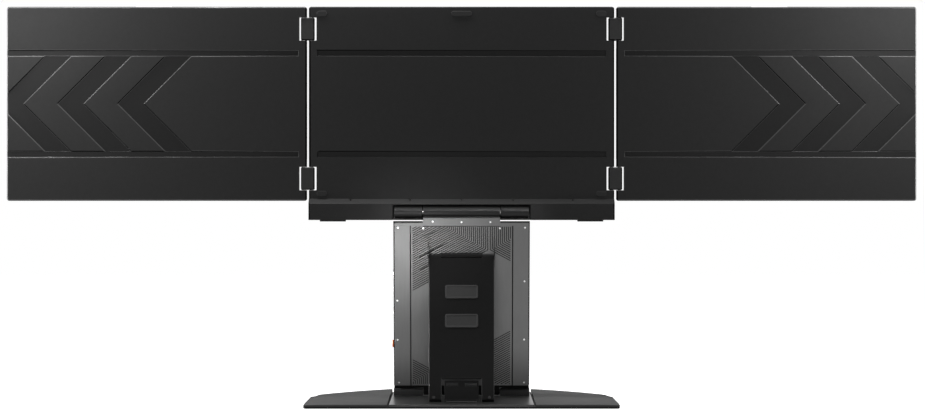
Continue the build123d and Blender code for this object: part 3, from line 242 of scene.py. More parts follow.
class Graph:
    """Node tree with short calls to add and join its nodes."""

    def __init__(self, tree: bpy.types.NodeTree) -> None:
        """Empty the tree of a material, a world or a node group, and keep it."""
        self.tree = tree
        self.tree.nodes.clear()

    def add(self, kind: str, inputs: dict[str | int, Any] | None = None,
            **settings: Any) -> bpy.types.Node:
        """Add a node and feed its inputs.

        Args:
            kind: Blender's name of the node type, without its ShaderNode prefix.
            inputs: Value or output socket for each input, by the input's name or number.
            **settings: Attributes of the node, set on it by name.

        Returns:
            The new node.
        """
        prefix = "" if kind.startswith("Node") else "ShaderNode"
        node = self.tree.nodes.new(prefix + kind)
        for name, value in settings.items():
            setattr(node, name, value)
        for name, value in (inputs or {}).items():
            if isinstance(value, bpy.types.NodeSocket):
                self.tree.links.new(value, node.inputs[name])
            else:
                node.inputs[name].default_value = value
        return node

    def math(self, operation: str, first: Any, second: Any) -> bpy.types.NodeSocket:
        """Combine two numbers or outputs by a named operation."""
        return self.add("Math", {0: first, 1: second}, operation=operation).outputs[0]

    def spread(self, value: bpy.types.NodeSocket, low: float, high: float) -> bpy.types.NodeSocket:
        """Map an output of 0 to 1 onto the range from low to high."""
        inputs = {"Value": value, "To Min": low, "To Max": high}
        return self.add("MapRange", inputs).outputs["Result"]

    def blend(self, share: Any, first: Any, second: Any) -> bpy.types.NodeSocket:
        """Mix two colours: a share of 0 gives the first one and 1 the second."""
        return self.add("Mix", {0: share, 6: first, 7: second}, data_type="RGBA").outputs[2]


class EffectShop:
    """Shader node groups for the effects that several finishes share."""

    def __init__(self) -> None:
        """Build every group once."""
        self.grain = self._grain()
        self.brushed = self._brushed()
        self.dust = self._dust()
        self.marks = self._marks()

    @staticmethod
    def _start(name: str, inputs: dict[str, float | None],
               outputs: Sequence[str]) -> tuple[Graph, Any]:
        """Make a group that has no nodes but its input.

        Args:
            name: Name of the group.
            inputs: Default of each input by its name; None makes it a vector.
            outputs: Name of each value that the group puts out.

        Returns:
            The group's graph, and what its input node puts out.
        """
        tree = bpy.data.node_groups.new(name, "ShaderNodeTree")
        for title, default in inputs.items():
            kind = "NodeSocketVector" if default is None else "NodeSocketFloat"
            socket = tree.interface.new_socket(name=title, in_out="INPUT", socket_type=kind)
            if default is not None:
                socket.default_value = default
        for title in outputs:
            tree.interface.new_socket(name=title, in_out="OUTPUT", socket_type="NodeSocketFloat")
        graph = Graph(tree)
        return graph, graph.add("NodeGroupInput").outputs

    def _grain(self) -> bpy.types.NodeTree:
        """Leather-like grain of moulded plastic, and the soft patches in its colour.

        Returns:
            The group.
        """
        graph, given = self._start(
            "moulded_grain", {"Place": None, "Fineness": 2000.0, "Patchiness": 200.0},
            ("Height", "Patch"))
        spot = {"Vector": given["Place"], "Scale": given["Fineness"]}
        fine = graph.add("TexNoise", spot | {"Detail": 3.0, "Roughness": 0.6})
        pits = graph.add("TexVoronoi", spot, feature="SMOOTH_F1")
        soft = graph.add("TexNoise", {"Vector": given["Place"], "Scale": given["Patchiness"],
                                      "Detail": 2.0})
        height = graph.math("MULTIPLY", fine.outputs["Fac"], pits.outputs["Distance"])
        graph.add("NodeGroupOutput", {"Height": height, "Patch": soft.outputs["Fac"]})
        return graph.tree

    def _brushed(self) -> bpy.types.NodeTree:
        """Fine upright strokes of brushed metal.

        Returns:
            The group.
        """
        graph, given = self._start(
            "brushed_strokes", {"Place": None, "Fineness": 4000.0, "Length": 0.03},
            ("Height", "Patch"))
        stretch = graph.add("CombineXYZ", {"X": 1.0, "Y": 1.0, "Z": given["Length"]})
        place = graph.add("VectorMath", {0: given["Place"], 1: stretch.outputs["Vector"]},
                          operation="MULTIPLY").outputs["Vector"]
        strokes = graph.add("TexNoise", {"Vector": place, "Scale": given["Fineness"],
                                         "Detail": 2.0})
        wide = graph.add("TexNoise", {"Vector": place, "Detail": 1.0,
                                      "Scale": graph.math("MULTIPLY", given["Fineness"], 0.1)})
        graph.add("NodeGroupOutput", {"Height": strokes.outputs["Fac"],
                                      "Patch": wide.outputs["Fac"]})
        return graph.tree

    def _dust(self) -> bpy.types.NodeTree:
        """Thin dust on what faces up, broken by a fine noise.

        Returns:
            The group.
        """
        graph, given = self._start("settled_dust", {"Place": None, "Amount": 0.1}, ("Mask",))
        split = graph.add("SeparateXYZ", {"Vector": graph.add("TexCoord").outputs["Normal"]})
        up = graph.add("MapRange", {"Value": split.outputs["Z"], "From Min": 0.3},
                       interpolation_type="SMOOTHSTEP")
        noise = graph.add("TexNoise", {"Vector": given["Place"], "Scale": 900.0, "Detail": 4.0})
        broken = graph.math("MULTIPLY", up.outputs["Result"], noise.outputs["Fac"])
        graph.add("NodeGroupOutput", {"Mask": graph.math("MULTIPLY", broken, given["Amount"])})
        return graph.tree

    def _marks(self) -> bpy.types.NodeTree:
        """Wide soft marks of handling, for the gloss.

        Returns:
            The group.
        """
        graph, given = self._start("handling_marks", {"Place": None, "Fineness": 30.0}, ("Mask",))
        noise = graph.add("TexNoise", {"Vector": given["Place"], "Scale": given["Fineness"],
                                       "Detail": 5.0, "Distortion": 0.8})
        graph.add("NodeGroupOutput", {"Mask": noise.outputs["Fac"]})
        return graph.tree


class PaintShop:
    """Makes and keeps one material per finish."""

    def __init__(self, effects: EffectShop) -> None:
        """Keep the node groups that the finishes are mixed from."""
        self.effects = effects
        self.mixed: dict[str, bpy.types.Material] = {}

    def material(self, finish: Finish) -> bpy.types.Material:
        """The material of a finish, mixed on first use.

        Args:
            finish: Finish to mix.

        Returns:
            Its material.
        """
        if finish.name not in self.mixed:
            self.mixed[finish.name] = self._mix(finish)
        return self.mixed[finish.name]

    def _mix(self, finish: Finish) -> bpy.types.Material:
        """Mix the material of a finish.

        Args:
            finish: Finish to mix.

        Returns:
            The new material.
        """
        material = bpy.data.materials.new(finish.name)
        material.use_nodes = True
        graph = Graph(material.node_tree)
        place = graph.add("TexCoord").outputs["Object"]
        surface = self._surface(graph, finish, place)
        colour = graph.blend(surface["Patch"], paint(finish.tone, 1 - finish.mottle),
                             paint(finish.tone, 1 + finish.mottle))
        if finish.texture is Texture.BOARD:
            colour = self._traces(graph, place, colour)
        if finish.dust:
            dust = graph.add("Group", {"Place": place, "Amount": finish.dust},
                             node_tree=self.effects.dust)
            colour = graph.blend(dust.outputs["Mask"], colour, paint(DUST_TONE))
        marks = graph.add("Group", {"Place": place}, node_tree=self.effects.marks)
        rough = graph.spread(marks.outputs["Mask"], finish.roughness - finish.spread,
                             finish.roughness + finish.spread)
        bump = graph.add("Bump", {"Distance": finish.depth * MM, "Height": surface["Height"]})
        shader = graph.add("BsdfPrincipled", {
            "Base Color": colour, "Roughness": rough, "Normal": bump.outputs["Normal"],
            "Metallic": finish.metallic, "Specular IOR Level": finish.specular,
            "Coat Weight": finish.coat, "Coat Roughness": 0.08})
        if finish.glow:
            shader.inputs["Emission Color"].default_value = paint(finish.tone)
            shader.inputs["Emission Strength"].default_value = finish.glow
        graph.add("OutputMaterial", {"Surface": shader.outputs["BSDF"]})
        return material

    def _surface(self, graph: Graph, finish: Finish, place: bpy.types.NodeSocket) -> Any:
        """Height and colour patches of a finish.

        Args:
            graph: Graph of the material.
            finish: Finish that is mixed.
            place: Output with the object coordinates.

        Returns:
            Outputs named Height and Patch.
        """
        inputs = {"Place": place, "Fineness": 1 / (finish.grain * MM)}
        if finish.texture is Texture.BRUSHED:
            return graph.add("Group", inputs, node_tree=self.effects.brushed).outputs
        inputs["Patchiness"] = 1 / (finish.patch * MM)
        return graph.add("Group", inputs, node_tree=self.effects.grain).outputs

    @staticmethod
    def _traces(graph: Graph, place: bpy.types.NodeSocket,
                colour: bpy.types.NodeSocket) -> bpy.types.NodeSocket:
        """Copper traces of a circuit board over its lacquer.

        Args:
            graph: Graph of the material.
            place: Output with the object coordinates.
            colour: Colour of the lacquer.

        Returns:
            The colour with the traces.
        """
        cells = graph.add("TexVoronoi", {"Vector": place, "Scale": 260.0}, distance="MANHATTAN")
        bands = graph.math("PINGPONG", cells.outputs["Distance"], 0.12)
        traces = graph.math("GREATER_THAN", bands, 0.095)
        return graph.blend(traces, colour, paint(COPPER_TONE))


# ---------------------------------------------------------------- bench


@dataclass(frozen=True)
class Datum:
    """Working plane of a piece: local x to the right, y up along the plane and z out of it."""

    origin: Triple
    lean: float = 0.0

    def matrix(self) -> Matrix:
        """Turn and shift from the plane to the frame.

        Returns:
            The matrix, in metres.
        """
        lean = math.radians(self.lean)
        across = Vector((1, 0, 0))
        up = Vector((0, -math.sin(lean), math.cos(lean)))
        turn = Matrix((across, up, across.cross(up))).transposed().to_4x4()
        return Matrix.Translation(Vector(self.origin) * MM) @ turn


class Bench:
    """Primitives at their size, and the tools that work on whole objects."""

    @staticmethod
    def pick(*objects: bpy.types.Object) -> None:
        """Select some objects alone.

        Args:
            *objects: The objects, of which the first becomes active.
        """
        if bpy.context.mode != "OBJECT":
            bpy.ops.object.mode_set(mode="OBJECT")
        bpy.ops.object.select_all(action="DESELECT")
        for piece in objects:
            piece.select_set(True)
        bpy.context.view_layer.objects.active = objects[0] if objects else None

    @staticmethod
    def settle(name: str) -> bpy.types.Object:
        """Name the new primitive and put its place and size into its mesh.

        Args:
            name: Name of the object.

        Returns:
            The primitive.
        """
        bpy.context.object.name = name
        bpy.ops.object.transform_apply(location=True, rotation=True, scale=True)
        return bpy.context.object

    @staticmethod
    def block(name: str, size: Triple) -> bpy.types.Object:
        """Box primitive that stands on the bench.

        Args:
            name: Name of the object.
            size: Its three sizes.

        Returns:
            The box.
        """
        Bench.pick()
        bpy.ops.mesh.primitive_cube_add(size=1.0, location=Vector((0, 0, size[2] / 2)) * MM,
                                        scale=Vector(size) * MM)
        return Bench.settle(name)

    @staticmethod
    def rod(name: str, radius: float, height: float, sides: int) -> bpy.types.Object:
        """Round primitive that stands on the bench.

        Args:
            name: Name of the object.
            radius: Its radius.
            height: Its height.
            sides: Number of its sides.

        Returns:
            The rod.
        """
        Bench.pick()
        bpy.ops.mesh.primitive_cylinder_add(vertices=sides, radius=radius * MM, depth=height * MM,
                                            location=(0, 0, height / 2 * MM))
        return Bench.settle(name)

    @staticmethod
    def place(piece: bpy.types.Object, datum: Datum, at: Point) -> bpy.types.Object:
        """Put a piece that was made on the bench onto its plane.

        Args:
            piece: The piece, around the bench's origin.
            datum: Plane that it goes on.
            at: Its place in that plane.

        Returns:
            The piece, with its place in its mesh.
        """
        piece.matrix_world = datum.matrix() @ Matrix.Translation((at[0] * MM, at[1] * MM, 0))
        Bench.pick(piece)
        bpy.ops.object.transform_apply(location=True, rotation=True, scale=True)
        return piece

    @staticmethod
    def copy(piece: bpy.types.Object, name: str) -> bpy.types.Object:
        """Copy of a piece with its own mesh.

        Args:
            piece: The piece.
            name: Name of the copy.

        Returns:
            The copy.
        """
        twin = piece.copy()
        twin.data = piece.data.copy()
        twin.name = name
        bpy.context.scene.collection.objects.link(twin)
        return twin

    @staticmethod
    def join(name: str, pieces: Sequence[bpy.types.Object]) -> bpy.types.Object:
        """Make one object of several.

        Args:
            name: Name of the result.
            pieces: The objects.

        Returns:
            The joined object.
        """
        Bench.pick(*pieces)
        if len(pieces) > 1:
            bpy.ops.object.join()
        pieces[0].name = name
        return pieces[0]

    @staticmethod
    def scatter(piece: bpy.types.Object, name: str, datum: Datum,
                spots: Iterable[Point]) -> bpy.types.Object:
        """Set copies of a piece on a plane and join them.

        Args:
            piece: The piece on the bench, which is used up.
            name: Name of the joined piece.
            datum: Plane of the copies.
            spots: Their places in that plane.

        Returns:
            The joined piece.
        """
        copies = [Bench.place(Bench.copy(piece, name), datum, spot) for spot in spots]
        bpy.data.objects.remove(piece)
        return Bench.join(name, copies)

    @staticmethod
    def apply(piece: bpy.types.Object, kind: str, **settings: Any) -> None:
        """Add a modifier and apply it.

        Args:
            piece: The piece.
            kind: Blender's name of the modifier.
            **settings: Attributes of the modifier, by name.
        """
        Bench.pick(piece)
        bpy.ops.object.modifier_add(type=kind)
        modifier = piece.modifiers[-1]
        for name, value in settings.items():
            setattr(modifier, name, value)
        bpy.ops.object.modifier_apply(modifier=modifier.name)

    @staticmethod
    def smooth(piece: bpy.types.Object, angle: float) -> None:
        """Shade a piece smooth, apart from its sharp edges.

        Args:
            piece: The piece.
            angle: Edges sharper than this stay sharp.
        """
        Bench.pick(piece)
        bpy.ops.object.shade_smooth_by_angle(angle=math.radians(angle))
        Bench.apply(piece, "WEIGHTED_NORMAL", keep_sharp=True)

    @staticmethod
    def soften(piece: bpy.types.Object, width: float, segments: int = 2, angle: float = 30.0,
               finish: int = -1) -> None:
        """Round the sharp edges of a piece a little and even out its shading.

        Args:
            piece: The piece.
            width: Width of the rounding.
            segments: Faces across the rounding.
            angle: Edges sharper than this are rounded.
            finish: Index of the rounding's material, or -1 for the one beside it.
        """
        Bench.apply(piece, "BEVEL", width=width * MM, segments=segments, limit_method="ANGLE",
                    angle_limit=math.radians(angle), use_clamp_overlap=False, material=finish)
        Bench.smooth(piece, 40.0)


class Edit:
    """Edit mode on one piece, with its faces, edges and points picked by a test."""

    def __init__(self, piece: bpy.types.Object) -> None:
        """Keep the piece to edit."""
        self.piece = piece

    def __enter__(self) -> "Edit":
        """Enter edit mode with nothing selected.

        Returns:
            This edit.
        """
        Bench.pick(self.piece)
        bpy.ops.object.mode_set(mode="EDIT")
        bpy.ops.mesh.select_all(action="DESELECT")
        return self

    def __exit__(self, *problem: Any) -> None:
        """Leave edit mode."""
        bpy.ops.object.mode_set(mode="OBJECT")

    def _pick(self, kind: Element, test: Test) -> None:
        """Select the elements of a kind that pass a test.

        Args:
            kind: What is picked.
            test: Whether an element is selected.
        """
        bpy.ops.mesh.select_mode(type=kind.name)
        bpy.ops.mesh.select_all(action="DESELECT")
        mesh = bmesh.from_edit_mesh(self.piece.data)
        mesh.normal_update()
        for element in [item for item in getattr(mesh, kind.value) if test(item)]:
            element.select_set(True)
        mesh.select_flush_mode()
        bmesh.update_edit_mesh(self.piece.data)

    def faces(self, test: Test) -> None:
        """Select the faces that pass a test."""
        self._pick(Element.FACE, test)

    def edges(self, test: Test) -> None:
        """Select the edges that pass a test."""
        self._pick(Element.EDGE, test)

    def points(self, test: Test) -> None:
        """Select the vertices that pass a test."""
        self._pick(Element.VERT, test)

    def everything(self) -> None:
        """Select the whole mesh."""
        bpy.ops.mesh.select_all(action="SELECT")

    def selected(self) -> set[int]:
        """Numbers of the selected faces.

        Returns:
            Their indices in the mesh.
        """
        bpy.ops.mesh.select_mode(type="FACE")
        mesh = bmesh.from_edit_mesh(self.piece.data)
        mesh.faces.index_update()
        return {face.index for face in mesh.faces if face.select}

    @staticmethod
    def inset(width: float, depth: float = 0.0) -> None:
        """Inset the selected faces by a width and sink them by a depth."""
        bpy.ops.mesh.inset(thickness=width * MM, depth=-depth * MM, use_boundary=True)

    @staticmethod
    def extrude(move: Triple) -> None:
        """Extrude the selected faces along a move."""
        bpy.ops.mesh.extrude_region_move(TRANSFORM_OT_translate={"value": Vector(move) * MM})

    @staticmethod
    def bevel(width: float, segments: int = 1) -> None:
        """Bevel the selected edges."""
        bpy.ops.mesh.bevel(offset=width * MM, segments=segments, affect="EDGES")

    @staticmethod
    def resize(factors: Triple) -> None:
        """Scale the selection about the bench's origin."""
        bpy.ops.transform.resize(value=factors, center_override=(0, 0, 0))

    @staticmethod
    def move(shift: Triple) -> None:
        """Move the selection."""
        bpy.ops.transform.translate(value=Vector(shift) * MM)

    def use(self, index: int) -> None:
        """Give the selected faces the piece's material of that index."""
        self.piece.active_material_index = index
        bpy.ops.object.material_slot_assign()

    def paint(self, index: int, test: Test) -> None:
        """Give the faces that pass a test the piece's material of that index."""
        self.faces(test)
        self.use(index)


def middle(face: Any) -> Vector:
    """Middle of a face, in metres."""
    return face.calc_center_median()


def above(height: float) -> Test:
    """Test of whether a vertex on the bench is at a height."""
    return lambda vert: vert.co.z > height * MM * NEARLY


def is_rear_chamfer(face: Any) -> bool:
    """Whether a face is a chamfer beside the rear."""
    return CHAMFER[0] < -face.normal.y < CHAMFER[1]


# ---------------------------------------------------------------- sub-assemblies


@dataclass
class SubAssembly:
    """Pieces that move together on one body of the frame."""

    frame: dict[str, Any]
    shop: PaintShop
    body: str

    def coat(self, piece: bpy.types.Object, *finishes: Finish) -> None:
        """Add the materials of some finishes to a piece, in their order."""
        for finish in finishes:
            piece.data.materials.append(self.shop.material(finish))

    def copy_node(self, node: str, *finishes: Finish) -> bpy.types.Object:
        """Merged copy of a CAD node, with its flat faces whole.

        Args:
            node: The CAD node.
            *finishes: Finishes of the copy, the main one first.

        Returns:
            The copy, which isn't handed in yet.
        """
        name = f"{node}_body"
        piece = bpy.data.objects.new(name, self.frame["nodes"][node].data.copy())
        bpy.context.scene.collection.objects.link(piece)
        piece.data.materials.clear()
        with Edit(piece) as edit:
            edit.everything()
            bpy.ops.mesh.remove_doubles(threshold=WELD * MM)
            bpy.ops.mesh.dissolve_limited(angle_limit=math.radians(FLAT_TURN))
        self.coat(piece, *finishes)
        return piece

    def soften_node(self, node: str, slot: str, finish: Finish, width: float = 0.3,
                    segments: int = 2, edge: Finish | None = None) -> None:
        """Stand-in of a CAD node with softened edges.

        Args:
            node: The CAD node that it stands for.
            slot: Material slot of the record.
            finish: Its finish.
            width: Width of the rounding.
            segments: Faces across the rounding.
            edge: Finish of the rounding, where it differs.
        """
        piece = self.copy_node(node, *((finish, edge) if edge else (finish,)))
        Bench.soften(piece, width, segments, finish=1 if edge else -1)
        self.hand_in(piece, slot, node)

    def hand_in(self, piece: bpy.types.Object, slot: str, *nodes: str) -> None:
        """Give a finished piece to its body.

        Args:
            piece: The piece, in place and with its finishes.
            slot: Material slot of the record; not used.
            *nodes: CAD nodes that it stands for.
        """
        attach(piece, self.body)
        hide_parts(*nodes)
        LOG.info("%s: %d faces on %s", piece.name, len(piece.data.polygons), self.body)

    def dress(self, node: str, finish: Finish) -> None:
        """Give a CAD node that stays its finish.

        Args:
            node: The CAD node.
            finish: Its finish.
        """
        carried = self.frame["nodes"][node]
        carried.data.materials.clear()
        self.coat(carried, finish)
        LOG.info("%s: carried over on %s", node, self.body)


@dataclass
class LeaningAssembly(SubAssembly):
    """Pieces on a body that leans about a level axis."""

    lean: float = 0.0
    axis: Triple = (0.0, 0.0, 0.0)

    def datum(self, depth: float) -> Datum:
        """Plane at a depth behind the axis.

        Args:
            depth: Its depth, square to the body.

        Returns:
            The plane, which leans as the body does.
        """
        lean = math.radians(self.lean)
        x, y, z = self.axis
        return Datum((x, y - depth * math.cos(lean), z - depth * math.sin(lean)), self.lean)

    def along(self, lift: float) -> Triple:
        """Move of a length up along the body."""
        lean = math.radians(self.lean)
        return (0.0, -lift * math.sin(lean), lift * math.cos(lean))


@dataclass(frozen=True)
class Screw:
    """Small screw with a rounded head and a six-lobed recess.

    The sizes of its head's rounding and rim are shares of its radius, and the recess's depth is a
    share of its height.
    """

    radius: float
    height: float
    recess: float = 0.5
    rounding: float = 0.18
    rim: float = 0.34
    reach: float = 0.55
    pinch: float = 0.72
    lobes: int = 6
    sides: int = 24

    def make(self, name: str) -> bpy.types.Object:
        """Model the screw on the bench, its head up.

        Args:
            name: Name of the object.

        Returns:
            The screw, standing on the bench's origin.
        """
        on_top = above(self.height)
        reach = self.radius * MM * self.reach
        screw = Bench.rod(name, self.radius, self.height, self.sides)
        with Edit(screw) as edit:
            edit.edges(lambda edge: all(map(on_top, edge.verts)))
            edit.bevel(self.radius * self.rounding, 3)
            edit.faces(lambda face: face.normal.z > 0.9 and len(face.verts) > 8)
            edit.inset(self.radius * self.rim)
            edit.points(lambda vert: on_top(vert) and vert.co.xy.length < reach
                        and math.cos(self.lobes * math.atan2(vert.co.y, vert.co.x)) < 0)
            edit.resize((self.pinch, self.pinch, 1.0))
            edit.faces(lambda face: face.normal.z > 0.9 and middle(face).xy.length < reach * 0.1)
            edit.extrude((0.0, 0.0, -self.recess * self.height))
        Bench.smooth(screw, 30.0)
        return screw


@dataclass(frozen=True)
class RubberFoot:
    """Rounded rubber pad with a crowned top, and a raised rim where it has one."""

    size: Triple
    corner: float
    crown: float = 0.4
    rim: float = 0.0
    rim_slope: float = 0.3
    rim_drop: float = 0.35

    def make(self, name: str) -> bpy.types.Object:
        """Model the pad on the bench, its top up.

        Args:
            name: Name of the object.

        Returns:
            The pad, standing on the bench's origin.
        """
        height = self.size[2]
        on_top = above(height)
        pad = Bench.block(name, self.size)
        with Edit(pad) as edit:
            edit.edges(lambda edge: abs(edge.verts[0].co.z - edge.verts[1].co.z) > height * MM / 2)
            edit.bevel(self.corner, 8)
            edit.edges(lambda edge: all(map(on_top, edge.verts)))
            edit.bevel(self.crown, 3)
            if self.rim:
                edit.faces(lambda face: face.normal.z > NEARLY)
                edit.inset(self.rim)
                edit.inset(self.rim * self.rim_slope, self.rim * self.rim_drop)
        Bench.smooth(pad, 35.0)
        return pad


@dataclass
class Panel(SubAssembly):
    """A screen panel: rear cover, bezel, display, driver board and hinge brackets."""

    prefix: str = "centre"
    relief: float = 0.3
    relief_turn: float = 50.0
    rear_from: float = 300.0
    band_depth: float = 0.3
    band_floor: float = 1.0
    band_sink: float = 0.5
    wall_slope: float = 1.0
    shortest_wall: float = 8.0
    border: float = 2.4
    glass_area: float = 10000.0
    # Finish of up-facing slopes, chamfers and rounded edges: painted highlight on the wings,
    # painted shade on the centre.
    rim: Finish = RIM
    # Finish of the outer side chamfer: painted highlight on the wings, painted shade on the centre.
    side_edge: Finish = PAINTED_HIGHLIGHT_EDGE
    side_reach: float = 3.0
    shortest_side: float = 20.0
    # Width of the painted shade line along the outer side edge.
    edge_line: float = 0.5

    def build(self) -> None:
        """Make the pieces that every panel has."""
        self.make_cover()
        self.make_display()
        self.soften_node(f"{self.prefix}_bezel", "bezel_black", BEZEL, 0.25)
        self.soften_node(f"{self.prefix}_hinge_brackets", "hinge_black", HINGE, 0.25)
        self.dress(f"{self.prefix}_driver_board", BOARD)

    def make_cover(self) -> None:
        """Rear cover: its bands a little deeper and darker, with sloped walls; up-facing slopes,
        chamfers and rounded edges get the rim finish, and down-facing slopes painted shade.
        """
        node = f"{self.prefix}_rear_cover"
        cover = self.copy_node(node, SHELL, BAND, self.rim, GROOVE, self.side_edge)
        rear = min(vert.co.y for vert in cover.data.vertices if vert.co.z > self.rear_from * MM)
        low, high = rear + self.band_depth * MM, rear + self.band_floor * MM

        def is_brink(edge: Any) -> bool:
            """Whether an edge lies between the raised face and the wall of a band.

            Args:
                edge: The edge.

            Returns:
                True where it does and isn't short.
            """
            tops = [face for face in edge.link_faces if face.normal.y < -SQUARE]
            walls = [face for face in edge.link_faces if abs(face.normal.y) < STEEP]
            return (len(tops) == len(walls) == 1
                    and abs(middle(tops[0]).y - rear) < ON_LEVEL * MM
                    and middle(walls[0]).y < high
                    and edge.calc_length() > self.shortest_wall * MM)

        with Edit(cover) as edit:
            edit.faces(lambda face: face.normal.y < -SQUARE and low < middle(face).y < high)
            edit.use(CoverSlot.BAND)
            edit.move((0.0, self.band_sink, 0.0))
            # Rear chamfers get the rim finish: painted highlight on the wings, painted shade on the
            # centre.
            edit.paint(CoverSlot.RIM, is_rear_chamfer)
            self.mark_sides(edit, rear)
            edit.edges(is_brink)
            edit.bevel(self.wall_slope)
            slope = edit.selected()
            # Up-facing slopes get the rim finish, down-facing slopes painted shade.
            edit.paint(CoverSlot.RIM, lambda face: face.index in slope and face.normal.z > FLAT)
            edit.paint(CoverSlot.GROOVE,
                       lambda face: face.index in slope and face.normal.z < -FLAT)
        LOG.info("%s: %d wall slopes", cover.name, len(slope))
        # The rounded edges get the rim finish as well.
        Bench.soften(cover, self.relief, 1, self.relief_turn, CoverSlot.RIM)
        self.hand_in(cover, "screen_shell", node)

    def mark_sides(self, edit: Edit, rear: float) -> None:
        """Side finish on the outer side chamfer (painted highlight on the wings, painted shade on
        the centre), a painted shade line beside it, and painted shade on the inner side chamfer.

        Args:
            edit: Edit mode on the cover.
            rear: Level of its rear face, in metres.
        """
        xs = [vert.co.x for vert in edit.piece.data.vertices]
        outer = max((min(xs), max(xs)), key=abs)
        reach = self.side_reach * MM

        def is_side(face: Any) -> bool:
            """Whether a face belongs to an upright part of the chamfer."""
            return is_rear_chamfer(face) and abs(face.normal.x) > CHAMFER[0]

        def is_side_edge(edge: Any) -> bool:
            """Whether an edge is the outer, upright one of the rear face.

            Args:
                edge: The edge.

            Returns:
                True where it is and isn't short.
            """
            start, end = (vert.co for vert in edge.verts)
            return (edge.calc_length() > self.shortest_side * MM
                    and all(abs(point.y - rear) < ON_LEVEL * MM for point in (start, end))
                    and abs(start.x - end.x) < ON_LINE * MM and abs(start.x - outer) < reach)

        # Inner side chamfer: painted shade; outer side chamfer: the side finish.
        edit.paint(CoverSlot.GROOVE,
                   lambda face: is_side(face) and abs(middle(face).x - outer) > reach)
        edit.paint(CoverSlot.SIDE,
                   lambda face: is_side(face) and abs(middle(face).x - outer) < reach)
        # A thin bevel along the outer side edge, painted as a shade line.
        edit.edges(is_side_edge)
        edit.bevel(self.edge_line)
        edit.use(CoverSlot.GROOVE)

    def make_display(self) -> None:
        """Display with the dark border of its glass."""
        node = f"{self.prefix}_display"
        display = self.copy_node(node, MASK, GLASS)
        area = self.glass_area * MM * MM
        with Edit(display) as edit:
            edit.faces(lambda face: face.normal.y > SQUARE)
            edit.inset(self.border)
            edit.paint(1, lambda face: face.normal.y > SQUARE and face.calc_area() > area)
        Bench.soften(display, width=0.15)
        self.hand_in(display, "display_glass", node)


@dataclass
class CentreScreen(Panel):
    """Centre screen with its chin, bumpers and the screen's half of the tilt hinge."""

    body: str = "centre_screen"
    # On the centre the rims and the side chamfers are painted shade.
    rim: Finish = PAINTED_SHADE_RIM
    side_edge: Finish = GROOVE
    bumper: RubberFoot = RubberFoot((12.4, 6.8, 1.0), 3.2, 0.5)
    pill: RubberFoot = RubberFoot((24.8, 6.2, 1.0), 3.0, 0.5)
    screw: Screw = Screw(1.2, 2.2)
    bumper_x: float = 167.3
    bumper_levels: Point = (249.417, 465.117)
    screw_xs: tuple[float, ...] = (-133.0, -61.7, 0.0, 61.7, 133.0)
    screw_level: float = 242.217
    screw_sink: float = 1.55
    rear: float = -6.514

    def build(self) -> None:
        """Make every piece of the centre screen."""
        super().build()
        self.soften_node("tilt_knuckles", "hinge_black", HINGE, 0.5, 3)
        self.soften_node("tilt_shaft", "steel", STEEL, 0.4)
        self.soften_node("chin_pads", "rubber_grey", PAD, 0.4, 3)
        datum = Datum((0.0, self.rear, 0.0))
        spots = [(side.value * self.bumper_x, level) for level in self.bumper_levels
                 for side in Side]
        ovals = Bench.scatter(self.bumper.make("oval"), "ovals", datum, spots)
        middle_spot = (0.0, self.bumper_levels[1])
        pill = Bench.scatter(self.pill.make("pill"), "pill", datum, [middle_spot])
        bumpers = Bench.join("centre_bumpers_body", [ovals, pill])
        self.coat(bumpers, BUMPER)
        self.hand_in(bumpers, "rubber_grey", "centre_bumpers")
        seat = Datum((0.0, self.rear + self.screw_sink, 0.0))
        spots = [(x, self.screw_level) for x in self.screw_xs]
        screws = Bench.scatter(self.screw.make("chin_screw"), "chin_screws_body", seat, spots)
        self.coat(screws, SCREW_DARK)
        self.hand_in(screws, "screw_black", "chin_screws")


@dataclass
class Wing(Panel):
    """Wing screen with its chevrons."""


@dataclass
class WingHinge(SubAssembly):
    """Link blocks and pins between a wing and the centre screen."""

    prefix: str = "left"
    slope: float = 1.1

    def build(self) -> None:
        """Make the link blocks, with painted shade on their sloped edges and a painted highlight on
        the up-facing ones, and the pins.
        """
        node = f"{self.prefix}_link_blocks"
        blocks = self.copy_node(node, LINK, GROOVE, PAINTED_HIGHLIGHT_EDGE)
        Bench.soften(blocks, self.slope, 1)
        with Edit(blocks) as edit:
            # Sloped faces get painted shade, then the up-facing chamfers a painted highlight.
            edit.paint(1, lambda face: max(map(abs, face.normal)) < SQUARE)
            edit.paint(2, lambda face: CHAMFER[0] < face.normal.z < SQUARE)
        self.hand_in(blocks, "hinge_black", node)
        self.soften_node(f"{self.prefix}_link_pins", "steel", STEEL, 0.3)


@dataclass(frozen=True)
class LineRun:
    """Engraved lines side by side: the ends of the first line and the step to the next."""

    start: Point
    end: Point
    step: Point
    end_step: Point
    count: int

    def lines(self) -> list[tuple[Vector, Vector]]:
        """Both ends of every line."""
        return [(Vector(self.start) + index * Vector(self.step),
                 Vector(self.end) + index * Vector(self.end_step)) for index in range(self.count)]


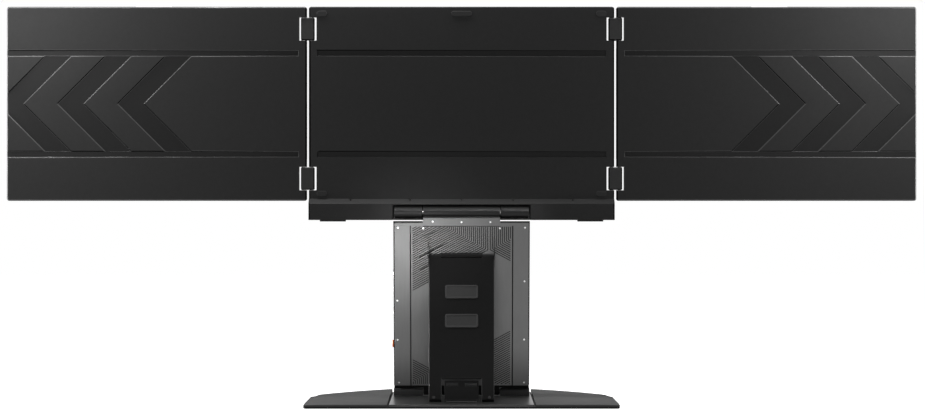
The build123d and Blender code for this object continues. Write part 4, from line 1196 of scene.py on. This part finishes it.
@dataclass
class Column(LeaningAssembly):
    """Column with its engraved back plate, its screws, its sockets and its hinge parts."""

    body: str = "column"
    lean: float = 7.2
    axis: Triple = (0.0, 22.5, 10.1)
    face: float = 12.8
    plate: float = 2.0
    plate_top: float = 205.2
    plate_band: Point = (-1.0, 1.5)
    plate_lift: float = 2.7
    tab_top: float = 211.5
    tab_lift: float = 1.0
    housing_top: float = 206.9
    housing_lift: float = 2.4
    lip_depth: float = 9.2
    lip_gap: float = 0.3
    skirt_drop: float = 0.5
    skirt_level: float = 5.5
    skirt_x: float = 46.4
    groove_x: float = 61.0
    groove_width: float = 1.5
    groove_sink: float = 1.0
    line_pitch: float = 2.4
    line_width: float = 0.48
    line_depth: float = 0.22
    shortest_line: float = 0.5
    bar_length: float = 1000.0
    field_left: float = -58.6
    field_right: float = 58.4
    field_top: float = 203.3
    field_bottom: float = 11.9
    rise: float = 0.544
    turn: float = 0.563
    left_bend: Point = (31.2, 175.2)
    right_bend: Point = (34.4, 175.3)
    low_bend: Point = (-58.1, 15.0)
    low_right: Point = (33.0, 62.7)
    low_lines: int = 10
    socket_wall: float = 1.0
    screw: Screw = Screw(1.4, 1.8, 0.3)
    screw_crown: float = 0.97
    plate_screws: tuple[Point, ...] = (
        (-76.1, 202.0), (-45.7, 201.2), (45.7, 201.2), (75.8, 202.0), (75.4, 137.2),
        (-77.0, 113.6), (-76.8, 65.9), (75.1, 66.3), (-75.3, 13.6), (75.2, 13.6))
    tab_screws: tuple[Point, ...] = ((-34.4, 209.4), (0.0, 208.6), (34.4, 208.6))

    def spot(self, point: Vector) -> tuple[float, float]:
        """Level and depth of a point on the column.

        Args:
            point: The point, in metres.

        Returns:
            How far it is up along the column and out of its rear.
        """
        lean = math.radians(self.lean)
        away = point / MM - Vector(self.axis)
        level = away.z * math.cos(lean) - away.y * math.sin(lean)
        return level, -away.y * math.cos(lean) - away.z * math.sin(lean)

    def slide(self, piece: bpy.types.Object, lift: float,
              test: Callable[[Any, float, float], bool]) -> None:
        """Move some points of a piece along the column.

        Args:
            piece: The piece.
            lift: How far they move up.
            test: Whether a point moves, from the point, its level and its depth.
        """
        with Edit(piece) as edit:
            edit.points(lambda vert: test(vert, *self.spot(vert.co)))
            edit.move(self.along(lift))

    def build(self) -> None:
        """Make every piece of the column."""
        self.make_plate()
        self.make_housing()
        self.soften_node("tilt_bracket", "hinge_black", HINGE, 0.4, 3)
        self.soften_node("leg_hinge_lug", "hinge_black", LEG, 0.3)
        self.soften_node("leg_hinge_pin", "steel", SCREW_DARK, 0.2)
        self.soften_node("status_light", "light_white", LIGHT, 0.1)
        self.dress("main_board", BOARD)
        self.dress("power_switch", SWITCH)
        for node in ("usb_c_sockets", "hdmi_socket"):
            self.make_socket(node)
        self.make_screws("column_screws", self.plate_screws)
        self.make_screws("tilt_bracket_screws", self.tab_screws)

    def make_housing(self) -> None:
        """Housing whose rear lip is raised and whose skirt comes down to the foot."""
        housing = self.copy_node("column_housing", COLUMN_SHELL)
        cut = self.datum(self.lip_depth).matrix()
        with Edit(housing) as edit:
            edit.everything()
            bpy.ops.mesh.bisect(plane_co=cut.translation,
                                plane_no=cut.to_3x3() @ Vector((0, 0, 1)))
        self.slide(housing, self.housing_lift, lambda vert, level, depth:
                   level > self.housing_top and depth > self.lip_depth + self.lip_gap)
        self.slide(housing, -self.skirt_drop, lambda vert, level, depth:
                   level < self.skirt_level and abs(vert.co.x) > self.skirt_x * MM)
        Bench.soften(housing, width=0.35)
        self.hand_in(housing, "column_shell", "column_housing")

    def make_screws(self, node: str, spots: Iterable[Point]) -> None:
        """Bright screws with a painted shade ring on their side and rounded faces.

        Args:
            node: CAD node that they stand for.
            spots: Their places on the plate.
        """
        seat = self.datum(self.face - self.plate)
        screws = Bench.scatter(self.screw.make("plate_screw"), f"{node}_body", seat, spots)
        self.coat(screws, SCREW_BRIGHT, SCREW_DARK)
        out = seat.matrix().to_3x3() @ Vector((0, 0, 1))
        with Edit(screws) as edit:
            # Faces that don't face straight out get painted shade.
            edit.paint(1, lambda face: face.normal.dot(out) < self.screw_crown)
        self.hand_in(screws, "steel", node)

    def make_socket(self, node: str) -> None:
        """Socket with a steel shell and a dark tongue.

        Args:
            node: CAD node that it stands for.
        """
        socket = self.copy_node(node, STEEL, SOCKET_CORE)
        inside = min(vert.co.x for vert in socket.data.vertices) + self.socket_wall * MM
        with Edit(socket) as edit:
            edit.paint(1, lambda face: min(vert.co.x for vert in face.verts) > inside)
        Bench.soften(socket, width=0.06)
        self.hand_in(socket, "steel", node)

    def line_runs(self) -> list[list[LineRun]]:
        """Engraved lines of the plate.

        Returns:
            Sets of runs, of which no two lines in one set cross.
        """
        pitch, rise, turn = self.line_pitch, self.rise, self.turn
        left, right, top, bottom = (self.field_left, self.field_right, self.field_top,
                                    self.field_bottom)
        gap = pitch * (rise + turn)
        inwards, outwards = (-pitch, pitch * turn), (pitch, pitch * turn)
        x, level = self.left_bend
        count = int((top - level) / (pitch * turn)) + 1
        foot = level - (x - left) * rise
        upright = LineRun((x, top), (x, level), (-pitch, 0), inwards, count)
        slant = LineRun((left, foot), (x, level), (0, gap), inwards, count)
        above_bend = foot + count * gap
        short = LineRun((left, above_bend), (left + (top - above_bend) / rise, top), (0, gap),
                        (-gap / rise, 0), int((top - above_bend) / gap) + 1)
        x, level = self.right_bend
        count = int((right - x) / pitch) + 1
        beyond = LineRun((x, top), (x, level), (pitch, 0), outwards, count)
        drop = LineRun((x, level), (right, level - (right - x) * rise), outwards, (0, gap), count)
        x, level = self.low_bend
        low_upright = LineRun((x, level), (x, bottom), outwards, (pitch, 0), self.low_lines)
        low_fall = LineRun((left, level + gap), (x + pitch, level + pitch * turn), (0, gap),
                           outwards, self.low_lines)
        x, level = self.low_right
        count = int((level - bottom) / gap) + 1
        climb = (right - x) * rise
        low_rise = LineRun((x, level), (right, level + climb), (0, -gap), (0, -gap), count)
        last = level - count * gap
        last_rise = LineRun((x + (bottom - last) / rise, bottom), (right, last + climb),
                            (gap / rise, 0), (0, -gap), int((last + climb - bottom) / gap) + 1)
        return [[upright, beyond, low_upright], [slant, short, drop, low_fall, low_rise, last_rise]]

    def make_plate(self) -> None:
        """Back plate with its engraved lines."""
        plate = self.copy_node("column_back_plate", PLATE, ENGRAVED)
        low, high = (self.plate_top + slack for slack in self.plate_band)
        self.slide(plate, self.plate_lift, lambda vert, level, depth: low < level < high)
        self.slide(plate, self.tab_lift, lambda vert, level, depth: level > self.tab_top)
        Bench.soften(plate, width=0.25)
        with Edit(plate) as edit:
            # Faces inside the side grooves at ±61 mm get the dark engraved finish as painted shade.
            edit.paint(1, lambda face: abs(abs(middle(face).x) / MM - self.groove_x)
                       < self.groove_width / 2
                       and self.spot(middle(face))[1] > self.face - self.groove_sink)
        for index, runs in enumerate(self.line_runs()):
            tool = self.make_line_tool(f"line_tool_{index}", runs)
            Bench.apply(plate, "BOOLEAN", operation="DIFFERENCE", solver="MANIFOLD", object=tool)
            bpy.data.objects.remove(tool)
        Bench.apply(plate, "TRIANGULATE")
        Bench.smooth(plate, 20.0)
        self.hand_in(plate, "column_metal", "column_back_plate")

    def make_line_tool(self, name: str, runs: list[LineRun]) -> bpy.types.Object:
        """Cutter for a set of lines: one four-sided bar, copied along each line.

        Args:
            name: Name of the cutter.
            runs: The lines.

        Returns:
            The cutter, in place on the plate's face.
        """
        bar = Bench.rod(name, 1.0, self.bar_length, sides=4)
        self.coat(bar, PLATE, ENGRAVED)
        with Edit(bar) as edit:
            edit.everything()
            edit.use(1)
        place = self.datum(self.face).matrix()
        out = Vector((0, 0, 1))
        bars = []
        for start, end in (line for run in runs for line in run.lines()):
            line = (end - start).to_3d()
            if line.length < self.shortest_line:
                continue
            ahead = line.normalized()
            frame = Matrix((ahead.cross(out), out, ahead)).transposed().to_4x4()
            size = Matrix.Diagonal((self.line_width, self.line_depth,
                                    line.length / self.bar_length, 1.0))
            twin = Bench.copy(bar, name)
            twin.data.transform(place @ Matrix.Translation(start.to_3d() * MM) @ frame @ size)
            bars.append(twin)
        bpy.data.objects.remove(bar)
        tool = Bench.join(name, bars)
        with Edit(tool) as edit:
            edit.everything()
            bpy.ops.mesh.normals_make_consistent(inside=False)
        return tool


@dataclass
class PowerKey(SubAssembly):
    """Power key in the column's side."""

    body: str = "power_key"

    def build(self) -> None:
        """Make the key."""
        self.soften_node("power_key", "key_orange", ORANGE, 0.3, 3)


@dataclass
class PropLeg(LeaningAssembly):
    """Prop leg with its pads and studs."""

    body: str = "leg"
    lean: float = -15.6
    axis: Triple = (0.0, -14.666, 175.043)
    thickness: float = 6.0
    top_band: float = 2.6
    top_drop: float = 1.5
    horn_x: float = 22.95
    notch_x: float = 25.5
    notch_depth: float = 9.0
    pad_edge: float = 0.05
    # Normal limits of the faces that get painted shade.
    under: Point = (-0.2, -0.4)
    pad: RubberFoot = RubberFoot((38.9, 16.0, 0.8), 2.4, 0.3, 1.0)
    pad_drops: Point = (44.4, 79.6)

    def make_plate(self) -> None:
        """Plate with a painted highlight on its rounded edges, except in the notch for the hinge at
        its top, and painted shade on its faces that face down and backwards.
        """
        plate = self.copy_node("leg_plate", LEG, PAINTED_HIGHLIGHT_LEG_EDGE, GROOVE)
        top = max(vert.co.z for vert in plate.data.vertices)
        with Edit(plate) as edit:
            edit.points(lambda vert: vert.co.z > top - self.top_band * MM
                        and abs(vert.co.x) > self.horn_x * MM)
            edit.move(self.along(-self.top_drop))
        # Rounded edges get a painted highlight.
        Bench.soften(plate, width=0.5, finish=1)
        with Edit(plate) as edit:
            # The notch at the top keeps the plain finish.
            edit.paint(0, lambda face: middle(face).z > top - self.notch_depth * MM
                       and abs(middle(face).x) < self.notch_x * MM)
            # Faces that face down and backwards get painted shade.
            edit.paint(2, lambda face: face.normal.y < self.under[0]
                       and face.normal.z < self.under[1])
        self.hand_in(plate, "leg_black", "leg_plate")

    def build(self) -> None:
        """Make every piece of the leg."""
        self.make_plate()
        pad = self.pad.make("pad")
        self.coat(pad, PAD, PAINTED_HIGHLIGHT_PAD_RIM)
        with Edit(pad) as edit:
            # The pad's sloped faces get a painted highlight.
            edit.paint(1, lambda face: self.pad_edge < face.normal.z < NEARLY)
        pads = Bench.scatter(pad, "leg_pads_body", self.datum(self.thickness / 2),
                             [(0.0, -drop) for drop in self.pad_drops])
        self.hand_in(pads, "rubber_grey", "leg_pads")
        self.soften_node("leg_studs", "screw_black", SCREW_DARK, 0.15)


@dataclass
class Base(SubAssembly):
    """Base with its covers, track, hinge knuckles, leg bracket, pads and screws."""

    body: str = "base"
    front: float = -95.0
    shoulder: float = 4.7
    cover_turn: float = 0.75
    cover_seat: float = 3.3
    knuckle_end: float = 46.5
    knuckle_reach: float = 0.35
    knuckle_slack: float = 0.1
    slot_levels: Point = (22.5, 24.6)
    lip_slope: float = 0.3

    def make_cover(self, side: Side) -> None:
        """Side cover that rises a little towards the screens.

        Args:
            side: Side of the base.
        """
        node = f"{side.word}_base_cover"
        cover = self.copy_node(node, BASE)
        hinge = Vector((0.0, self.front, self.shoulder)) * MM
        with Edit(cover) as edit:
            edit.points(lambda vert: vert.co.z > self.cover_seat * MM)
            bpy.ops.transform.rotate(value=-math.radians(self.cover_turn), orient_axis="X",
                                     center_override=hinge)
        Bench.soften(cover, width=0.3)
        self.hand_in(cover, "base_grey", node)

    def make_knuckles(self) -> None:
        """Foot knuckles that close up to the column's barrel."""
        knuckles = self.copy_node("foot_knuckles", LINK)
        slack = self.knuckle_slack * MM
        with Edit(knuckles) as edit:
            for side in Side:
                end = side.value * self.knuckle_end * MM
                edit.points(lambda vert: abs(vert.co.x - end) < slack)
                edit.move((-side.value * self.knuckle_reach, 0.0, 0.0))
        Bench.soften(knuckles, width=0.15)
        self.hand_in(knuckles, "hinge_black", "foot_knuckles")

    def make_bracket(self) -> None:
        """Leg bracket with a painted highlight on its rounded edges and on its slots' up-facing
        lower lips.
        """
        bracket = self.copy_node("leg_bracket", LEG, PAINTED_HIGHLIGHT_LEG_EDGE)
        Bench.soften(bracket, width=0.4, finish=1)
        low, high = (level * MM for level in self.slot_levels)
        with Edit(bracket) as edit:
            # Up-facing lower lips of the slots get a painted highlight.
            edit.paint(1, lambda face: low < middle(face).z < high
                       and face.normal.z > self.lip_slope)
        self.hand_in(bracket, "leg_black", "leg_bracket")

    def build(self) -> None:
        """Make every piece of the base."""
        self.soften_node("base_plate", "steel", UNDER, 0.3)
        for side in Side:
            self.make_cover(side)
        # The track's rounded edges get the dark under-plate finish as a painted shade line.
        self.soften_node("centre_track", "base_grey", TRACK, 0.3, 2, UNDER)
        self.make_knuckles()
        self.soften_node("foot_shaft", "steel", SCREW_DARK, 0.3)
        self.make_bracket()
        self.soften_node("leg_bracket_screws", "screw_black", SCREW_DARK, 0.2)
        self.soften_node("base_pads", "rubber_grey", PAD, 0.3)
        self.soften_node("base_screws", "screw_black", SCREW_DARK, 0.2)


# ---------------------------------------------------------------- studio


@dataclass(frozen=True)
class Softbox:
    """Rectangular studio lamp that points at a target."""

    name: str
    place: Triple
    target: Triple
    size: Point
    power: float
    spread: float = 180.0

    def hang(self) -> None:
        """Add the lamp."""
        Bench.pick()
        bpy.ops.object.light_add(type="AREA", location=Vector(self.place) * MM)
        lamp = bpy.context.object
        lamp.name = self.name
        lamp.data.shape = "RECTANGLE"
        lamp.data.size, lamp.data.size_y = (length * MM for length in self.size)
        lamp.data.energy = self.power
        lamp.data.spread = math.radians(self.spread)
        aim = (Vector(self.target) - Vector(self.place)) * MM
        lamp.rotation_euler = aim.to_track_quat("-Z", "Y").to_euler()


@dataclass
class Studio:
    """White floor, world, lamps and camera."""

    eye: Triple = (1.1, -2395.0, 233.0)
    lens: float = 77.62
    sensor: float = 36.0
    floor_size: float = 9000.0
    floor_tone: float = 0.8
    floor_lift: float = 0.93
    ambient: float = 0.1
    lamps: tuple[Softbox, ...] = (
        Softbox("left_key", (-600, -300, 530), (-600, 0, 480), (120, 120), 1.3),
        Softbox("right_key", (600, -300, 530), (600, 0, 480), (120, 120), 1.3),
        Softbox("left_top_strip", (-450, -20, 640), (-450, -10, 350), (900, 40), 3.4),
        Softbox("right_top_strip", (450, -20, 640), (450, -10, 350), (900, 40), 1.5),
        Softbox("left_strip", (-800, -30, 360), (-545, -5, 360), (40, 300), 1.2),
        Softbox("right_strip", (800, -30, 360), (545, -5, 360), (40, 300), 0.75),
        Softbox("column_lamp", (-150, -640, 25), (-56, 0, 200), (50, 30), 0.0175, 18),
        Softbox("foot_lamp", (0, -500, 90), (0, 10, 30), (160, 30), 0.003, 20),
        Softbox("barrel_lamp", (0, -265, 396), (0, -14, 230), (200, 14), 0.0055, 8),
        Softbox("side_lamp", (-420, 10, 90), (-81.5, 10, 80), (60, 60), 0.25, 30))

    def build(self) -> None:
        """Set up the studio."""
        scene = bpy.context.scene
        scene.view_settings.view_transform = "Standard"
        self.light_world(scene)
        self.lay_floor()
        for lamp in self.lamps:
            lamp.hang()
        self.set_camera(scene)

    @staticmethod
    def seen(graph: Graph) -> bpy.types.NodeSocket:
        """Mask that is 1 for camera, glossy and transmission rays.

        Args:
            graph: Graph that the mask is for.

        Returns:
            The mask's output.
        """
        path = graph.add("LightPath").outputs
        both = graph.math("MAXIMUM", path["Is Camera Ray"], path["Is Glossy Ray"])
        return graph.math("MAXIMUM", both, path["Is Transmission Ray"])

    def light_world(self, scene: bpy.types.Scene) -> None:
        """White world where it is seen, and a plain soft light elsewhere.

        Args:
            scene: Scene that gets the world.
        """
        world = bpy.data.worlds.new("studio")
        world.use_nodes = True
        scene.world = world
        graph = Graph(world.node_tree)
        strength = graph.spread(self.seen(graph), self.ambient, 1.0)
        back = graph.add("Background", {"Color": WHITE, "Strength": strength})
        graph.add("OutputWorld", {"Surface": back.outputs["Background"]})

    def lay_floor(self) -> None:
        """Pale floor that keeps the shadow of what stands on it."""
        Bench.pick()
        bpy.ops.mesh.primitive_plane_add(size=self.floor_size * MM, location=(0, 0, 0))
        floor = bpy.context.object
        floor.name = "floor"
        material = bpy.data.materials.new("floor_paper")
        material.use_nodes = True
        graph = Graph(material.node_tree)
        shader = graph.add("BsdfPrincipled", {
            "Base Color": (self.floor_tone,) * 3 + (1,), "Roughness": 1.0,
            "Specular IOR Level": 0.0, "Emission Color": WHITE,
            "Emission Strength": graph.math("MULTIPLY", self.seen(graph), self.floor_lift)})
        graph.add("OutputMaterial", {"Surface": shader.outputs["BSDF"]})
        floor.data.materials.append(material)

    def set_camera(self, scene: bpy.types.Scene) -> None:
        """Level camera behind the extender.

        Args:
            scene: Scene that gets the camera.
        """
        bpy.ops.object.camera_add(location=Vector(self.eye) * MM, rotation=(math.radians(90), 0, 0))
        camera = bpy.context.object
        camera.name = "camera"
        camera.data.sensor_fit = "HORIZONTAL"
        camera.data.sensor_width = self.sensor
        camera.data.lens = self.lens
        camera.data.clip_end = 100.0
        camera.data.dof.use_dof = False
        scene.camera = camera


def main() -> None:
    """Load the frame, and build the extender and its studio."""
    logging.basicConfig(level=logging.INFO, format="%(message)s")
    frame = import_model()
    shop = PaintShop(EffectShop())
    Studio().build()
    for assembly in (Base, Column, PowerKey, PropLeg, CentreScreen):
        assembly(frame, shop).build()
    for side in Side:
        Wing(frame, shop, f"{side.word}_wing", side.word).build()
        WingHinge(frame, shop, f"{side.word}_link", side.word).build()


if __name__ == "__main__":
    main()
